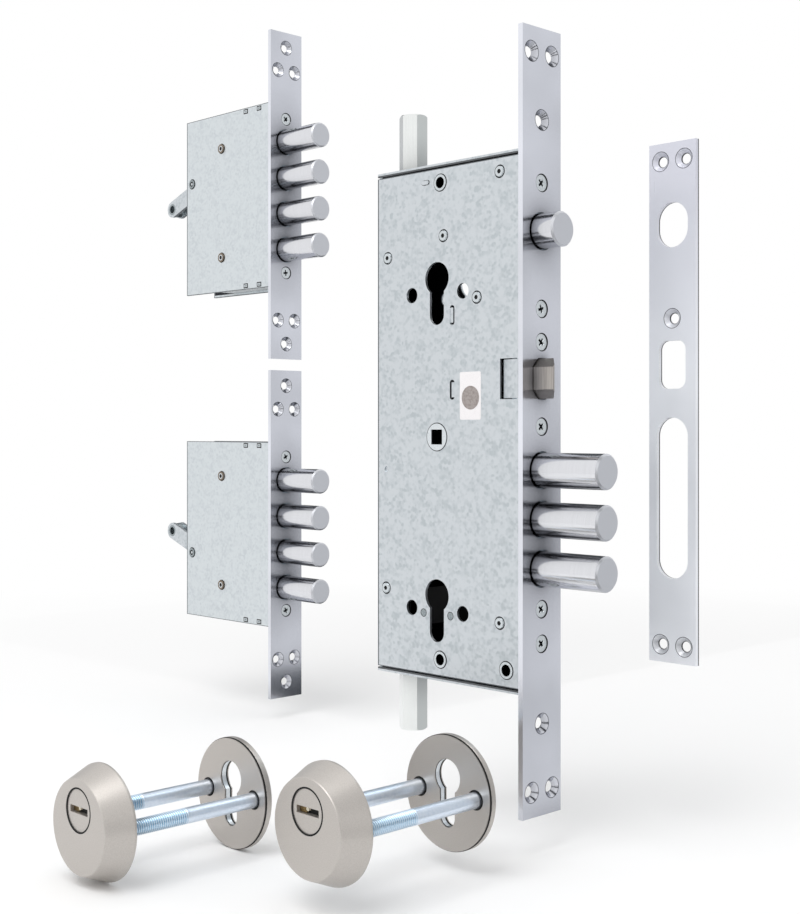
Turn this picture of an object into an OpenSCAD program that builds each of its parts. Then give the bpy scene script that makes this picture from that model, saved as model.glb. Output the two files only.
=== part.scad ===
// Multipoint mortise lock set for an armoured door: the main lock, two auxiliary
// four-bolt locks with rod levers, the strike plate and two cylinder escutcheon sets.
// X runs out of the forend along the bolts, Y through the thickness, Z up.
// The origin is the middle of the main forend's front face.

/* [Main lock case] */
// Forend face to the spindle and cylinder axis
backset = 61; // [58:1:64]
// Spindle to each cylinder, centre to centre
centres = 85; // [84:0.5:87]
// Spindle below the middle of the forend
spindle_drop = 8; // [7:0.5:9]
// Height of the case
case_h = 277; // [274:1:290]
// Depth of the case behind the forend
case_d = 104; // [103:1:112]
// Thickness of the case over its cover
case_t = 29; // [29:0.5:32]
// Sheet thickness of the case
wall = 2; // [1.5:0.1:2.2]
// Sheet thickness of the cover
cover_t = 1.5; // [1:0.1:1.6]
// Gap between the cover and the folded walls
cover_gap = 0.8; // [0.4:0.1:1.2]

/* [Forends] */
// Width of the forend strip
forend_w = 30; // [29.5:0.5:34]
// Thickness of the forend strip
forend_t = 3; // [2.5:0.1:3.5]
// Height of the main forend
forend_h = 403; // [395:1:420]
// Height of an auxiliary forend
aux_forend_h = 246.5; // [240:0.5:260]
// Bore of a fixing hole
fixing_d = 5.5; // [4.5:0.1:6]
// Countersink of a fixing hole
fixing_head_d = 10.5; // [9.5:0.1:11]
// Fixing pair, hole to hole across the forend
fixing_pair = 16; // [15:0.5:17]
// Fixing pair to the end of the main forend
pair_end = 13; // [11:0.5:16]
// Single fixing hole to the end of the main forend
single_end = 47; // [44:0.5:50]
// Shank of the screws that hold a forend
screw_d = 4; // [3:0.1:4.5]
// Head of the screws that hold a forend
screw_head_d = 8.8; // [7.5:0.1:9.5]

/* [Bolts] */
// Diameter of every round bolt
bolt_d = 18; // [16:0.5:18.5]
// Radial clearance of a bolt in its guide
bolt_gap = 0.3; // [0.2:0.05:0.5]
// Centre distance of the three deadbolts
bolt_pitch = 25.2; // [24.5:0.1:26]
// Middle deadbolt below the spindle
deadbolt_drop = 42; // [41:0.5:43]
// Travel of the deadbolts
bolt_throw = 41; // [36:0.5:41]
// Bolt end proud of the forend when drawn back
bolt_proud = 1; // [0.5:0.1:2]
// Bolt behind the forend face when thrown
bolt_tail = 20; // [19:0.5:21]
// Bevel at the end of a bolt
bolt_bevel = 1; // [0.5:0.1:1.5]
// Travel of the service bolt
service_throw = 13; // [10:0.5:13]
// Thickness of the plates that carry the bolts
plate_t = 5; // [4:0.5:5]
// Depth of the guide blocks behind the forend
guide_d = 9; // [7:0.5:9]

/* [Latch] */
// Latch centre above the spindle
latch_rise = 30; // [29:0.5:31]
// Height of the latch head
latch_h = 20.4; // [19:0.2:21]
// Thickness of the latch head
latch_w = 14; // [12:0.5:15]
// Corner bevel of the latch head
latch_corner = 4.5; // [3:0.5:5]
// Travel of the latch
latch_throw = 12; // [10:0.5:12]
// Spindle square
spindle_sq = 8; // [7:0.5:8]
// Diameter of the follower
follower_d = 14.5; // [14:0.1:15]
// Follower axis to its driving pin
follower_arm = 20; // [19:0.5:21]

/* [Rods] */
// Hexagon rod across flats
rod_af = 14; // [12:0.5:14]
// Rod beyond the case when thrown
rod_out = 32.5; // [26:0.5:40]
// Rod axis in front of the rear of the case
rod_inset = 13.5; // [13:0.25:14]
// Travel of the rods
rod_travel = 20.5; // [16:0.5:20.5]
// Tapped hole in the end of a rod
rod_thread_d = 8.5; // [6:0.5:9]
// Depth of the tapped hole
rod_thread_depth = 20; // [15:1:25]

/* [Cylinder and fixing holes] */
// Round part of the cylinder hole
cylinder_d = 17.5; // [17:0.1:18]
// Slot part of the cylinder hole
cylinder_slot = 10.5; // [10:0.1:11]
// Overall height of the cylinder hole
cylinder_h = 33.7; // [33:0.1:34]
// Escutcheon bolt holes, centre to centre
rose_bolts = 38; // [37.5:0.5:38.5]
// Escutcheon bolt holes below the cylinder axis
rose_bolt_drop = 8; // [7.5:0.5:8.5]
// Diameter of the escutcheon bolt holes
rose_hole_d = 8.3; // [8.2:0.1:8.6]

/* [Auxiliary locks] */
// Height of the auxiliary case
aux_h = 138.5; // [136:0.5:145]
// Centre distance of the four auxiliary bolts
aux_pitch = 27; // [26:0.5:27.5]
// Travel of the auxiliary bolts
aux_throw = 38.5; // [34:0.5:38.5]
// Auxiliary bolt end proud when drawn back
aux_proud = 1.5; // [1:0.1:2]
// Lever pivot above the middle of the case
lever_pivot_z = 19.5; // [18:0.5:20]
// Lever pivot in front of the rear of the case
lever_pivot_x = 7; // [6.5:0.25:8]
// Lever pivot to the rod hole
lever_out = 43; // [40:0.5:46]
// Lever pivot to the driving pin
lever_in = 52; // [51:0.5:53]
// Outer arm below level when thrown
lever_rest = 20; // [15:1:25]
// Inner arm off vertical when drawn back
lever_lean = 4; // [3:0.5:5]
// Diameter of the driving pin
lever_pin_d = 6; // [5:0.5:6.5]

/* [Strike plate] */
// Height of the strike plate
strike_h = 281; // [275:1:290]
// Width of the hole for the bolts
strike_hole_w = 20; // [19:0.5:21]

/* [Escutcheons] */
// Diameter of the cap and of the rose
rose_d = 57.5; // [56:0.5:60]
// Thickness of the rose
rose_t = 5.2; // [5:0.1:6.5]
// Depth of the armoured cap
cap_h = 14.5; // [13:0.5:16]
// Diameter of the flat front of the cap
cap_face_d = 45.5; // [44:0.5:49]
// Cap back to rose front, as displayed
cap_apart = 76; // [70:0.5:82]
// Diameter of the turning key disc
disc_d = 20.6; // [19:0.2:21]
// Key disc above the middle of the cap
disc_rise = 8; // [7.5:0.5:8.5]
// Diameter of the escutcheon bolts
rose_bolt_d = 7.9; // [7:0.1:8]

/* [Hidden] */
$fn = 64;

galvanised = [0.74, 0.76, 0.78];
chrome = [0.78, 0.79, 0.82];
polished = [0.86, 0.86, 0.88];
sintered = [0.50, 0.48, 0.46];
zinc = [0.66, 0.70, 0.76];
nickel = [0.66, 0.63, 0.59];
bronze = [0.42, 0.33, 0.28];
nylon = [0.20, 0.20, 0.21];
eps = 0.01;

// Clearances between pieces that move on each other, and between fitted pieces
slide_gap = 0.3;
pin_gap = 0.15;
forend_gap = 0.8;
tab_gap = 0.6;
screw_sunk = 0.4;
fit_gap = 0.05;

half_t = case_t / 2;
case_front = -forend_t;
case_rear = case_front - case_d;
case_top = case_h / 2;
inner_front_y = -half_t + cover_t;
inner_back_y = half_t - wall;
spindle_x = -backset;
spindle_z = -spindle_drop;
cylinder_zs = [spindle_z + centres, spindle_z - centres];
service_z = cylinder_zs[0] + (case_top - cylinder_zs[0]) / 3;
deadbolt_z = spindle_z - deadbolt_drop;
rose_bolt_xs = [spindle_x - rose_bolts / 2, spindle_x + rose_bolts / 2];

// Cover screws and their pillars
stop_z = service_z + 1.9;
pillar_d = 6.5;
pillar_bore_d = 3.3;
pillar_head_d = 6.1;
pillar_seat_d = 0.3;
pillars = [[spindle_x + 45, case_top - 10], [spindle_x + 4.8, stop_z],
    [spindle_x - 38, cylinder_zs[0] + 14], [spindle_x + 29, cylinder_zs[0] - 12],
    [spindle_x - 39.2, cylinder_zs[1] + 1.1], [spindle_x + 45, cylinder_zs[1] - 10.3]];
stop_pillar = pillars[1];

// Through bushes of the case, near its ends
bush_d = 8.7;
bush_bore_d = 6.1;
bushes = [[spindle_x + 2.5, case_top - 10.5], [spindle_x + 2.5, 11.5 - case_top],
    [spindle_x + 49.5, 11.5 - case_top]];

// Screws that hold the forend, from the top one down
forend_screw_zs = [case_top - 16.2, cylinder_zs[0] - 19.2, spindle_z + 48.8, spindle_z + 5.5,
    deadbolt_z - bolt_pitch - 20.8, 24.8 - case_top];
screw_len = 11;
lug_w = 12;

bolt_r = bolt_d / 2;
guide_rear = case_front - guide_d;
deadbolt_zs = [for (i = [1, 0, -1]) deadbolt_z + i * bolt_pitch];
latch_z = spindle_z + latch_rise;
plate_front = guide_rear - 1.5;
bolt_pin_x = (plate_front - bolt_tail) / 2;
bolt_pin_d = 4;

// Bolt plate: its rear stays inside the case when the bolts are drawn back
plate_rear = case_rear + wall + bolt_throw + 0.6;
plate_top = spindle_z - follower_d / 2 - 2.2;
plate_low = cylinder_zs[1] + 13.5;
cam_turns = 4;
cam_pitch = bolt_throw / cam_turns;

// Drive pins of the bolt plate and the sloping slots of the rod slides
drive_pin_d = 5;
drive_pin_x = plate_rear + drive_pin_d / 2 + 2.4;
drive_zs = [deadbolt_z + 13, deadbolt_z - 12];
slide_t = 1.5;
slope_len = sqrt(pow(bolt_throw, 2) + pow(rod_travel, 2));
slope_angle = atan2(rod_travel, bolt_throw);
slot_r = drive_pin_d / 2 + pin_gap;
band_r = slot_r + 2.5;
upper_slide_y = inner_front_y + slide_gap;
lower_slide_y = upper_slide_y + slide_t + slide_gap;
rod_x = case_rear + rod_inset;
rod_end = case_top - rod_travel + 1;
strip_w = 8;
strip_x = rod_x + 3.5;
foot_t = 2.5;
spigot_d = 5;

// Latch head, tail and the arm of the follower
latch_nose = latch_throw + 1.2;
latch_rear = guide_rear - 4;
latch_tail_h = 8;
arm_swing = 2 * asin(latch_throw / 2 / follower_arm);
arm_pin_d = 5;
arm_pin_x = spindle_x + latch_throw / 2;
arm_pin_z = spindle_z + follower_arm * cos(arm_swing / 2);
arm_rise = follower_arm * (1 - cos(arm_swing / 2));
spring_rod_d = 3.6;
spring_rod_z = latch_z + latch_h / 2 - 3.8;
spring_wire_d = 0.9;
spring_r = spring_rod_d / 2 + spring_wire_d / 2 + 0.3;
spring_turns = 8;
spring_seat_x = latch_rear - 28;
spring_rest = latch_rear - spring_seat_x;

// Auxiliary lock, in its own frame: the middle of its forend's front face
aux_top = aux_h / 2;
aux_wall_top = aux_top - 1.7;
aux_wall_rear = case_front - 75;
aux_bolt_zs = [for (i = [1.5, 0.5, -0.5, -1.5]) i * aux_pitch];
aux_tail = bolt_tail - 0.5;
aux_screw_z = 58;
aux_single_end = 11.5;
aux_pair_end = 29.2;
aux_post = [case_front - 58.3, aux_top - 26.85];
aux_post_d = 5.2;
aux_post_head_d = 7.1;
aux_pivot_x = case_rear + lever_pivot_x;
aux_pivot_d = 7;
lever_ply = 2.5;
lever_hole_d = 6;
lever_w = 13;
lever_thrown = asin(aux_throw / lever_in + sin(lever_lean));
lever_swing = lever_thrown - lever_lean;
aux_plate_rear = case_rear + wall + aux_throw + 0.5;
aux_plate_edge = aux_post[1] - aux_post_d / 2 - slide_gap;
aux_rear_slot = [lever_pivot_z - 24, lever_pivot_z + 14];
tab_xs = [case_front - 27.8, case_front - 11.6];
tab_w = 3.7;

// Layers of a rose
rose_plate_t = 0.8;
rose_core_t = 3.2;

// Where the separate units of the set stand
aux_mid_z = 44.5;
aux_apart = aux_forend_h + 8.5;
upper_aux_at = [-357, 126, aux_mid_z + aux_apart / 2];
lower_aux_at = [-357, 126, aux_mid_z - aux_apart / 2];
strike_at = [24, 80, 0];
strike_lift = 9;
left_rose_at = [-120, -107.5, -193];
right_rose_at = [-15, -54.5, -183];

// A bar from one point to another in the XZ plane, with round ends
module bar_xz(from, to, r, y, t) {
    run = to - from;
    translate([from[0], y + t, from[1]])
        rotate([90, 0, 0]) linear_extrude(t)
            rotate(atan2(run[1], run[0])) {
                circle(r);
                translate([norm(run), 0]) circle(r);
                translate([0, -r]) square([norm(run), 2 * r]);
            }
}

// A round pin along Y
module pin_y(x, z, d, y, length) {
    translate([x, y, z]) rotate([-90, 0, 0]) cylinder(h = length, d = d);
}

// A round pin along X
module pin_x(x, y, z, d, length) {
    translate([x, y, z]) rotate([0, 90, 0]) cylinder(h = length, d = d);
}

// A plate in the XZ plane between two corners
module plate_xz(low, high, y, t) {
    translate([low[0], y, low[1]]) cube([high[0] - low[0], t, high[1] - low[1]]);
}

// The hole of a profile cylinder, through everything along Y
module cylinder_cut(x, z, y, t) {
    slot_low = z + cylinder_d / 2 - cylinder_h + cylinder_slot / 2;
    pin_y(x, z, cylinder_d, y, t);
    pin_y(x, slot_low, cylinder_slot, y, t);
    plate_xz([x - cylinder_slot / 2, slot_low], [x + cylinder_slot / 2, z], y, t);
}

// A countersunk hole from the face x = 0 backwards
module countersunk(y, z, bore, head, depth) {
    pin_x(-depth, y, z, bore, depth + eps);
    translate([-(head - bore) / 2, y, z]) rotate([0, 90, 0])
        cylinder(h = (head - bore) / 2 + eps, d1 = bore, d2 = head + 2 * eps);
}

// A countersunk screw whose head lies just below x = 0
module forend_screw(y, z) {
    head_h = (screw_head_d - screw_d) / 2;
    pin_x(-screw_len, y, z, screw_d, screw_len - screw_sunk - head_h + eps);
    translate([-screw_sunk - head_h, y, z]) rotate([0, 90, 0])
        cylinder(h = head_h - fit_gap, d1 = screw_d, d2 = screw_head_d - 2 * fit_gap);
}

// A round bolt along X with a bevelled end and a slot for its plate
module round_bolt(z, out, tail) {
    difference() {
        union() {
            pin_x(-tail, 0, z, bolt_d, tail + out - bolt_bevel);
            translate([out - bolt_bevel, 0, z]) rotate([0, 90, 0])
                cylinder(h = bolt_bevel, d1 = bolt_d, d2 = bolt_d - 2 * bolt_bevel);
        }
        translate([-tail - eps, -plate_t / 2 - fit_gap, z - bolt_r - eps])
            cube([tail + plate_front + fit_gap + eps, plate_t + 2 * fit_gap, bolt_d + 2 * eps]);
        pin_y(bolt_pin_x, z, bolt_pin_d + 2 * fit_gap, -bolt_r, bolt_d);
    }
}

// Forend strip with its bolt holes and its fixing holes
module forend_strip(height, bolts, screws, pair_z, single_z, spread) {
    difference() {
        translate([-forend_t, -forend_w / 2, -height / 2]) cube([forend_t, forend_w, height]);
        for (z = bolts) pin_x(-forend_t - eps, 0, z, bolt_d + 2 * forend_gap, forend_t + 2 * eps);
        for (z = screws) countersunk(0, z, screw_d + 2 * fit_gap, screw_head_d + 2 * screw_sunk, forend_t + eps);
        for (s = [-1, 1]) {
            countersunk(0, s * single_z, fixing_d, fixing_head_d, forend_t + eps);
            for (y = [-1, 1])
                countersunk(y * spread / 2, s * pair_z, fixing_d, fixing_head_d, forend_t + eps);
        }
    }
}

// Latch section across the bolt: a block with its four corners bevelled
module latch_section(grow) {
    w = latch_w / 2 + grow;
    h = latch_h / 2 + grow;
    c = latch_corner;
    polygon([[-w, -h + c], [-w + c, -h], [w - c, -h], [w, -h + c],
        [w, h - c], [w - c, h], [-w + c, h], [-w, h - c]]);
}

// The latch section drawn out along X
module latch_prism(x, length, grow) {
    translate([x, 0, latch_z]) rotate([90, 0, 90]) linear_extrude(length) latch_section(grow);
}

// Openings that go through the cover and the back alike
module through_openings(y, t) {
    for (z = cylinder_zs) {
        cylinder_cut(spindle_x, z, y, t);
        for (x = rose_bolt_xs) pin_y(x, z - rose_bolt_drop, rose_hole_d, y, t);
    }
    pin_y(spindle_x, spindle_z, follower_d + 2 * fit_gap, y, t);
    for (b = bushes) pin_y(b[0], b[1], bush_d + 2 * fit_gap, y, t);
}

module case_body() color(galvanised) {
    difference() {
        union() {
            plate_xz([case_rear, -case_top], [case_front, case_top], inner_back_y, wall);
            for (z = [-case_top, case_top - wall])
                translate([case_rear, -half_t, z]) cube([case_d, case_t - eps, wall]);
            translate([case_rear, inner_front_y, -case_top])
                cube([wall, inner_back_y - inner_front_y + eps, case_h]);
            for (z = [forend_screw_zs[1], forend_screw_zs[5]])
                translate([case_front - wall, -lug_w / 2, z - lug_w / 2])
                    cube([wall, inner_back_y + lug_w / 2 + eps, lug_w]);
            translate([spring_seat_x - wall, -4, spring_rod_z - 4])
                cube([wall, inner_back_y + 4 + eps, 8]);
        }
        through_openings(inner_back_y - eps, wall + 2 * eps);
        for (z = [forend_screw_zs[1], forend_screw_zs[5]])
            pin_x(case_front - wall - eps, 0, z, screw_d + 2 * fit_gap, wall + 2 * eps);
        pin_x(spring_seat_x - wall - eps, 0, spring_rod_z, spring_rod_d + 2 * slide_gap, wall + 2 * eps);
        for (z = [-case_top - eps, case_top - wall - eps])
            translate([rod_x, 0, z]) cylinder(h = wall + 2 * eps, d = rod_af / cos(30) + 1);
    }
}

module cover_plate() color(galvanised) {
    edge = case_top - wall - cover_gap;
    window_rear = case_front - 12.8;
    window_z = [latch_z - 10.4, latch_z + 10.4];
    difference() {
        plate_xz([case_rear, -edge], [case_front, edge], -half_t, cover_t);
        through_openings(-half_t - eps, cover_t + 2 * eps);
        for (p = pillars) {
            pin_y(p[0], p[1], pillar_bore_d + 2 * fit_gap, -half_t - eps, cover_t + 2 * eps);
            pin_y(p[0], p[1], pillar_head_d + 0.9, -half_t - eps, pillar_seat_d + eps);
        }
        for (z = [56.7, 17.1])
            bar_xz([spindle_x + 11.3, z - 3.6], [spindle_x + 11.3, z + 3.6], 1.7, -half_t - eps, cover_t + 2 * eps);
        plate_xz([window_rear, window_z[0]], [case_front - 1, window_z[1]], -half_t - eps, cover_t + 2 * eps);
        for (d = [[spindle_x - 10, cylinder_zs[1] - 10], [spindle_x + 10, cylinder_zs[1] - 10],
            [case_rear + 7, deadbolt_z + 24]]) pin_y(d[0], d[1], 3.2, -half_t - eps, 0.7);
    }
    // Lanced tongues in the two slots, each left joined on one side
    for (t = [[56.7, -1.8], [17.1, -0.6]])
        translate([spindle_x + 11.3 + t[1], 0.2 - half_t, t[0] - 4]) cube([2.4, cover_t - 0.2, 8]);
    // Stop pressed out beside the upper bush
    bar_xz([bushes[0][0] - 12.5, bushes[0][1] + 1.2], [bushes[0][0] - 9.5, bushes[0][1] + 1.2], 1.1, -half_t - 0.4, 0.5);
    // Tab left by the window, bent in beside the latch
    translate([case_front - 1, -half_t, window_z[0] + 0.5]) rotate([0, 0, 172])
        translate([-0.4, -cover_t, 0]) cube([11, cover_t, window_z[1] - window_z[0] - 1]);
}

module forend() color(chrome) {
    difference() {
        forend_strip(forend_h, concat(deadbolt_zs, [service_z]), forend_screw_zs,
            forend_h / 2 - pair_end, forend_h / 2 - single_end, fixing_pair);
        latch_prism(-forend_t - eps, forend_t + 2 * eps, 0.4);
    }
}

module case_pillars() color(zinc) {
    for (p = pillars) difference() {
        pin_y(p[0], p[1], pillar_d, inner_front_y, inner_back_y - inner_front_y);
        pin_y(p[0], p[1], pillar_bore_d, inner_front_y - eps, 10);
    }
}

module cover_screws() color(zinc) {
    for (p = pillars) difference() {
        union() {
            pin_y(p[0], p[1], pillar_bore_d - 2 * fit_gap, -half_t, cover_t + 8);
            translate([p[0], pillar_seat_d - half_t, p[1]]) rotate([90, 0, 0])
                cylinder(h = 0.9, d1 = pillar_head_d, d2 = pillar_head_d - 0.8);
        }
        translate([p[0], -half_t + 0.1, p[1]]) rotate([90, 0, 0]) cylinder(h = 1, d = 2.6, $fn = 6);
    }
}

module case_bushes() color(zinc) {
    for (b = bushes) difference() {
        pin_y(b[0], b[1], bush_d, -half_t - 0.3, case_t + 0.6);
        pin_y(b[0], b[1], bush_bore_d, -half_t - 1, case_t + 2);
    }
}

module forend_screws() color(zinc) {
    for (z = forend_screw_zs) forend_screw(0, z);
}

// A guide block behind the forend, between two heights
module guide_block(low, high) {
    translate([guide_rear, inner_front_y + slide_gap, low])
        cube([guide_d, inner_back_y - inner_front_y - slide_gap, high - low]);
}

module deadbolt_guide() color(zinc) {
    difference() {
        guide_block(forend_screw_zs[4] - 5, forend_screw_zs[3] + 5);
        for (z = deadbolt_zs) pin_x(guide_rear - eps, 0, z, bolt_d + 2 * bolt_gap, guide_d + 2 * eps);
        for (z = [forend_screw_zs[3], forend_screw_zs[4]])
            pin_x(guide_rear - eps, 0, z, screw_d + 2 * fit_gap, guide_d + 2 * eps);
    }
}

module latch_guide() color(zinc) {
    difference() {
        translate([guide_rear, -latch_w / 2 - 2.5, latch_z - latch_h / 2 - 3])
            cube([guide_d, inner_back_y + latch_w / 2 + 2.5, forend_screw_zs[2] + 5 - latch_z + latch_h / 2 + 3]);
        latch_prism(guide_rear - eps, guide_d + 2 * eps, slide_gap);
        pin_x(guide_rear - eps, 0, forend_screw_zs[2], screw_d + 2 * fit_gap, guide_d + 2 * eps);
    }
}

module service_guide() color(zinc) {
    difference() {
        guide_block(service_z - bolt_r - 4, forend_screw_zs[0] + 5);
        pin_x(guide_rear - eps, 0, service_z, bolt_d + 2 * bolt_gap, guide_d + 2 * eps);
        pin_x(guide_rear - eps, 0, forend_screw_zs[0], screw_d + 2 * fit_gap, guide_d + 2 * eps);
    }
}

module rod_guides() color(nylon) {
    for (s = [0, 1]) mirror([0, 0, s]) difference() {
        translate([case_rear + wall, inner_front_y + slide_gap, case_top - wall - 5])
            cube([2 * (rod_inset - wall), inner_back_y - inner_front_y - slide_gap, 5]);
        translate([rod_x, 0, case_top - wall - 5 - eps]) rotate(30)
            cylinder(h = 5 + 2 * eps, d = (rod_af + 2 * slide_gap) / cos(30), $fn = 6);
    }
}

module deadbolts() color(polished) {
    for (z = deadbolt_zs) round_bolt(z, bolt_throw + bolt_proud, bolt_tail);
}

module bolt_plate() color(galvanised) {
    difference() {
        plate_xz([plate_rear, plate_low], [plate_front, plate_top], -plate_t / 2, plate_t);
        for (z = deadbolt_zs) pin_y(bolt_pin_x, z, bolt_pin_d + 2 * fit_gap, -plate_t, 2 * plate_t);
        for (z = drive_zs) pin_y(drive_pin_x, z, drive_pin_d + 2 * fit_gap, -plate_t, 2 * plate_t);
        for (i = [0:cam_turns - 1])
            translate([spindle_x + i * cam_pitch, plate_t, plate_low]) rotate([90, 0, 0])
                linear_extrude(2 * plate_t) polygon([[-1, -1], [6, -1], [4.5, 4], [0.5, 4]]);
        for (z = [deadbolt_z + bolt_pitch / 2, deadbolt_z - bolt_pitch / 2])
            bar_xz([plate_front - 20, z], [plate_front - 12, z], 4, -plate_t, 2 * plate_t);
    }
}

module bolt_pins() color(zinc) {
    for (z = deadbolt_zs) pin_y(bolt_pin_x, z, bolt_pin_d, -bolt_r + 1.5, bolt_d - 3);
}

module drive_pins() color(zinc) {
    for (p = [[drive_zs[0], upper_slide_y], [drive_zs[1], lower_slide_y]])
        pin_y(drive_pin_x, p[0], drive_pin_d, p[1], plate_t / 2 - p[1]);
}

// A hexagon rod with a tapped outer end and a spigot through its slide
module hex_rod() {
    outer = case_top + rod_out;
    corner_r = rod_af / 2 / cos(30);
    difference() {
        union() {
            intersection() {
                translate([rod_x, 0, rod_end]) rotate(30)
                    cylinder(h = outer - rod_end, r = corner_r, $fn = 6);
                translate([rod_x, 0, rod_end - eps])
                    cylinder(h = outer - rod_end - 1, r = corner_r + 1);
                }
            intersection() {
                translate([rod_x, 0, outer - 1 - eps]) rotate(30)
                    cylinder(h = 1 + eps, r = corner_r, $fn = 6);
                translate([rod_x, 0, outer - 1 - eps])
                    cylinder(h = 1 + eps, r1 = corner_r + 0.1, r2 = corner_r - 1.1);
            }
            translate([rod_x, 0, rod_end - foot_t]) cylinder(h = foot_t + eps, d = spigot_d);
        }
        translate([rod_x, 0, outer - rod_thread_depth]) cylinder(h = rod_thread_depth + eps, d = rod_thread_d);
    }
}

// A rod slide: sloping slotted band, strip and the foot that carries the rod
module rod_slide(pin_z, y) {
    slot_from = [drive_pin_x, pin_z];
    slot_to = slot_from + [-bolt_throw, rod_travel];
    band_mid_z = pin_z + (drive_pin_x - strip_x) * rod_travel / bolt_throw;
    difference() {
        union() {
            bar_xz(slot_from, slot_to, band_r, y, slide_t);
            plate_xz([strip_x - strip_w / 2, band_mid_z], [strip_x + strip_w / 2, rod_end], y, slide_t);
            translate([rod_x - spigot_d / 2 - 1.5, y, rod_end - foot_t])
                cube([strip_x - rod_x + (strip_w + spigot_d) / 2 + 1.5, spigot_d / 2 + 3 - y, foot_t]);
        }
        bar_xz(slot_from, slot_to, slot_r, y - eps, slide_t + 2 * eps);
        translate([rod_x, 0, rod_end - foot_t - eps]) cylinder(h = foot_t + 2 * eps, d = spigot_d + 2 * fit_gap);
    }
}

module upper_rod() color(polished) hex_rod();
module lower_rod() color(polished) mirror([0, 0, 1]) hex_rod();
module upper_slide() color(galvanised) rod_slide(drive_zs[0], upper_slide_y);
module lower_slide() color(galvanised) mirror([0, 0, 1]) rod_slide(-drive_zs[1], lower_slide_y);

module service_bolt() color(polished) round_bolt(service_z, service_throw + bolt_proud, bolt_tail);

// Tail of the service bolt, which slides on one of the pillars
module service_tail() color(galvanised) {
    low = cylinder_zs[0] + 15.5;
    slot_r = pillar_d / 2 + slide_gap;
    difference() {
        plate_xz([stop_pillar[0] - 14, low], [plate_front, stop_pillar[1] + slot_r + 2.5], -plate_t / 2, plate_t);
        bar_xz(stop_pillar, stop_pillar + [service_throw, 0], slot_r, -plate_t, 2 * plate_t);
        pin_y(bolt_pin_x, service_z, bolt_pin_d + 2 * fit_gap, -plate_t, 2 * plate_t);
        translate([spindle_x - 6, plate_t, low]) rotate([90, 0, 0]) linear_extrude(2 * plate_t)
            polygon([[-1, -1], [6, -1], [4.5, 2.2], [0.5, 2.2]]);
    }
    pin_y(bolt_pin_x, service_z, bolt_pin_d, -bolt_r + 1.5, bolt_d - 3);
}

// Latch head: one side flat, the other bevelled back to the forend
module latch_bolt() color(sintered) {
    intersection() {
        latch_prism(latch_rear, latch_nose - latch_rear, 0);
        translate([0, 0, latch_z - latch_h]) linear_extrude(2 * latch_h)
            polygon([[latch_rear, -latch_w], [latch_nose - 1, -latch_w], [latch_nose, -latch_w / 2 + 1],
                [0.4, latch_w / 2 + 0.01], [latch_rear, latch_w]]);
    }
}

module latch_tail() color(galvanised) {
    tail_low = arm_pin_z - arm_pin_d / 2 - 3;
    bar_low = arm_pin_z + arm_rise + arm_pin_d / 2 + 1.5;
    difference() {
        union() {
            plate_xz([spindle_x - 1, bar_low], [latch_rear, bar_low + latch_tail_h], -plate_t / 2, plate_t);
            plate_xz([arm_pin_x - 6, tail_low], [arm_pin_x + 6, bar_low + eps], -plate_t / 2, plate_t);
            pin_x(spring_seat_x - wall - latch_throw - 4, 0, spring_rod_z, spring_rod_d,
                latch_rear - spring_seat_x + wall + latch_throw + 4);
        }
        bar_xz([arm_pin_x, arm_pin_z - 0.3], [arm_pin_x, arm_pin_z + arm_rise + 0.3],
            arm_pin_d / 2 + pin_gap, -plate_t, 2 * plate_t);
    }
}

// Rings of a wire coil along X, one unbroken round tube
function coil_ring(a, length, turns, sides) = let (
        x = length * a / (360 * turns),
        lead = atan2(length / turns, 360 / 180 * PI * spring_r / 2 * 1))
    [for (k = [0:sides - 1]) let (b = 360 * k / sides, r = spring_r + spring_wire_d / 2 * cos(b))
        [x + spring_wire_d / 2 * sin(b), r * cos(a), r * sin(a)]];

module latch_spring() color(polished) {
    sides = 6;
    steps = 12 * spring_turns;
    length = spring_rest - spring_wire_d - 0.2;
    rings = [for (i = [0:steps]) coil_ring(i * 30, length, spring_turns, sides)];
    points = [for (ring = rings) for (p = ring) p];
    tube = [for (i = [0:steps - 1]) for (k = [0:sides - 1]) let (n = (k + 1) % sides)
        each [[i * sides + k, (i + 1) * sides + k, i * sides + n],
            [i * sides + n, (i + 1) * sides + k, (i + 1) * sides + n]]];
    start = [for (k = [1:sides - 2]) [0, k, k + 1]];
    end = [for (k = [1:sides - 2]) [steps * sides, steps * sides + k + 1, steps * sides + k]];
    translate([spring_seat_x + spring_wire_d / 2 + 0.1, 0, spring_rod_z])
        polyhedron(points, concat(tube, start, end));
}

module follower() color(sintered) {
    arm_y = plate_t / 2 + slide_gap;
    difference() {
        union() {
            pin_y(spindle_x, spindle_z, follower_d, -half_t - 0.2, case_t + 0.4);
            bar_xz([spindle_x, spindle_z], [arm_pin_x, arm_pin_z], 4.5, arm_y, 3);
            pin_y(spindle_x, spindle_z, follower_d + 3, arm_y + 3 - eps, inner_back_y - slide_gap - arm_y - 3);
        }
        translate([spindle_x - spindle_sq / 2, -half_t - 1, spindle_z - spindle_sq / 2])
            cube([spindle_sq, case_t + 2, spindle_sq]);
        pin_y(arm_pin_x, arm_pin_z, arm_pin_d + 2 * fit_gap, arm_y - 1, 5);
    }
}

module follower_pin() color(zinc) {
    pin_y(arm_pin_x, arm_pin_z, arm_pin_d, -plate_t / 2, plate_t + slide_gap + 3);
}

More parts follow.
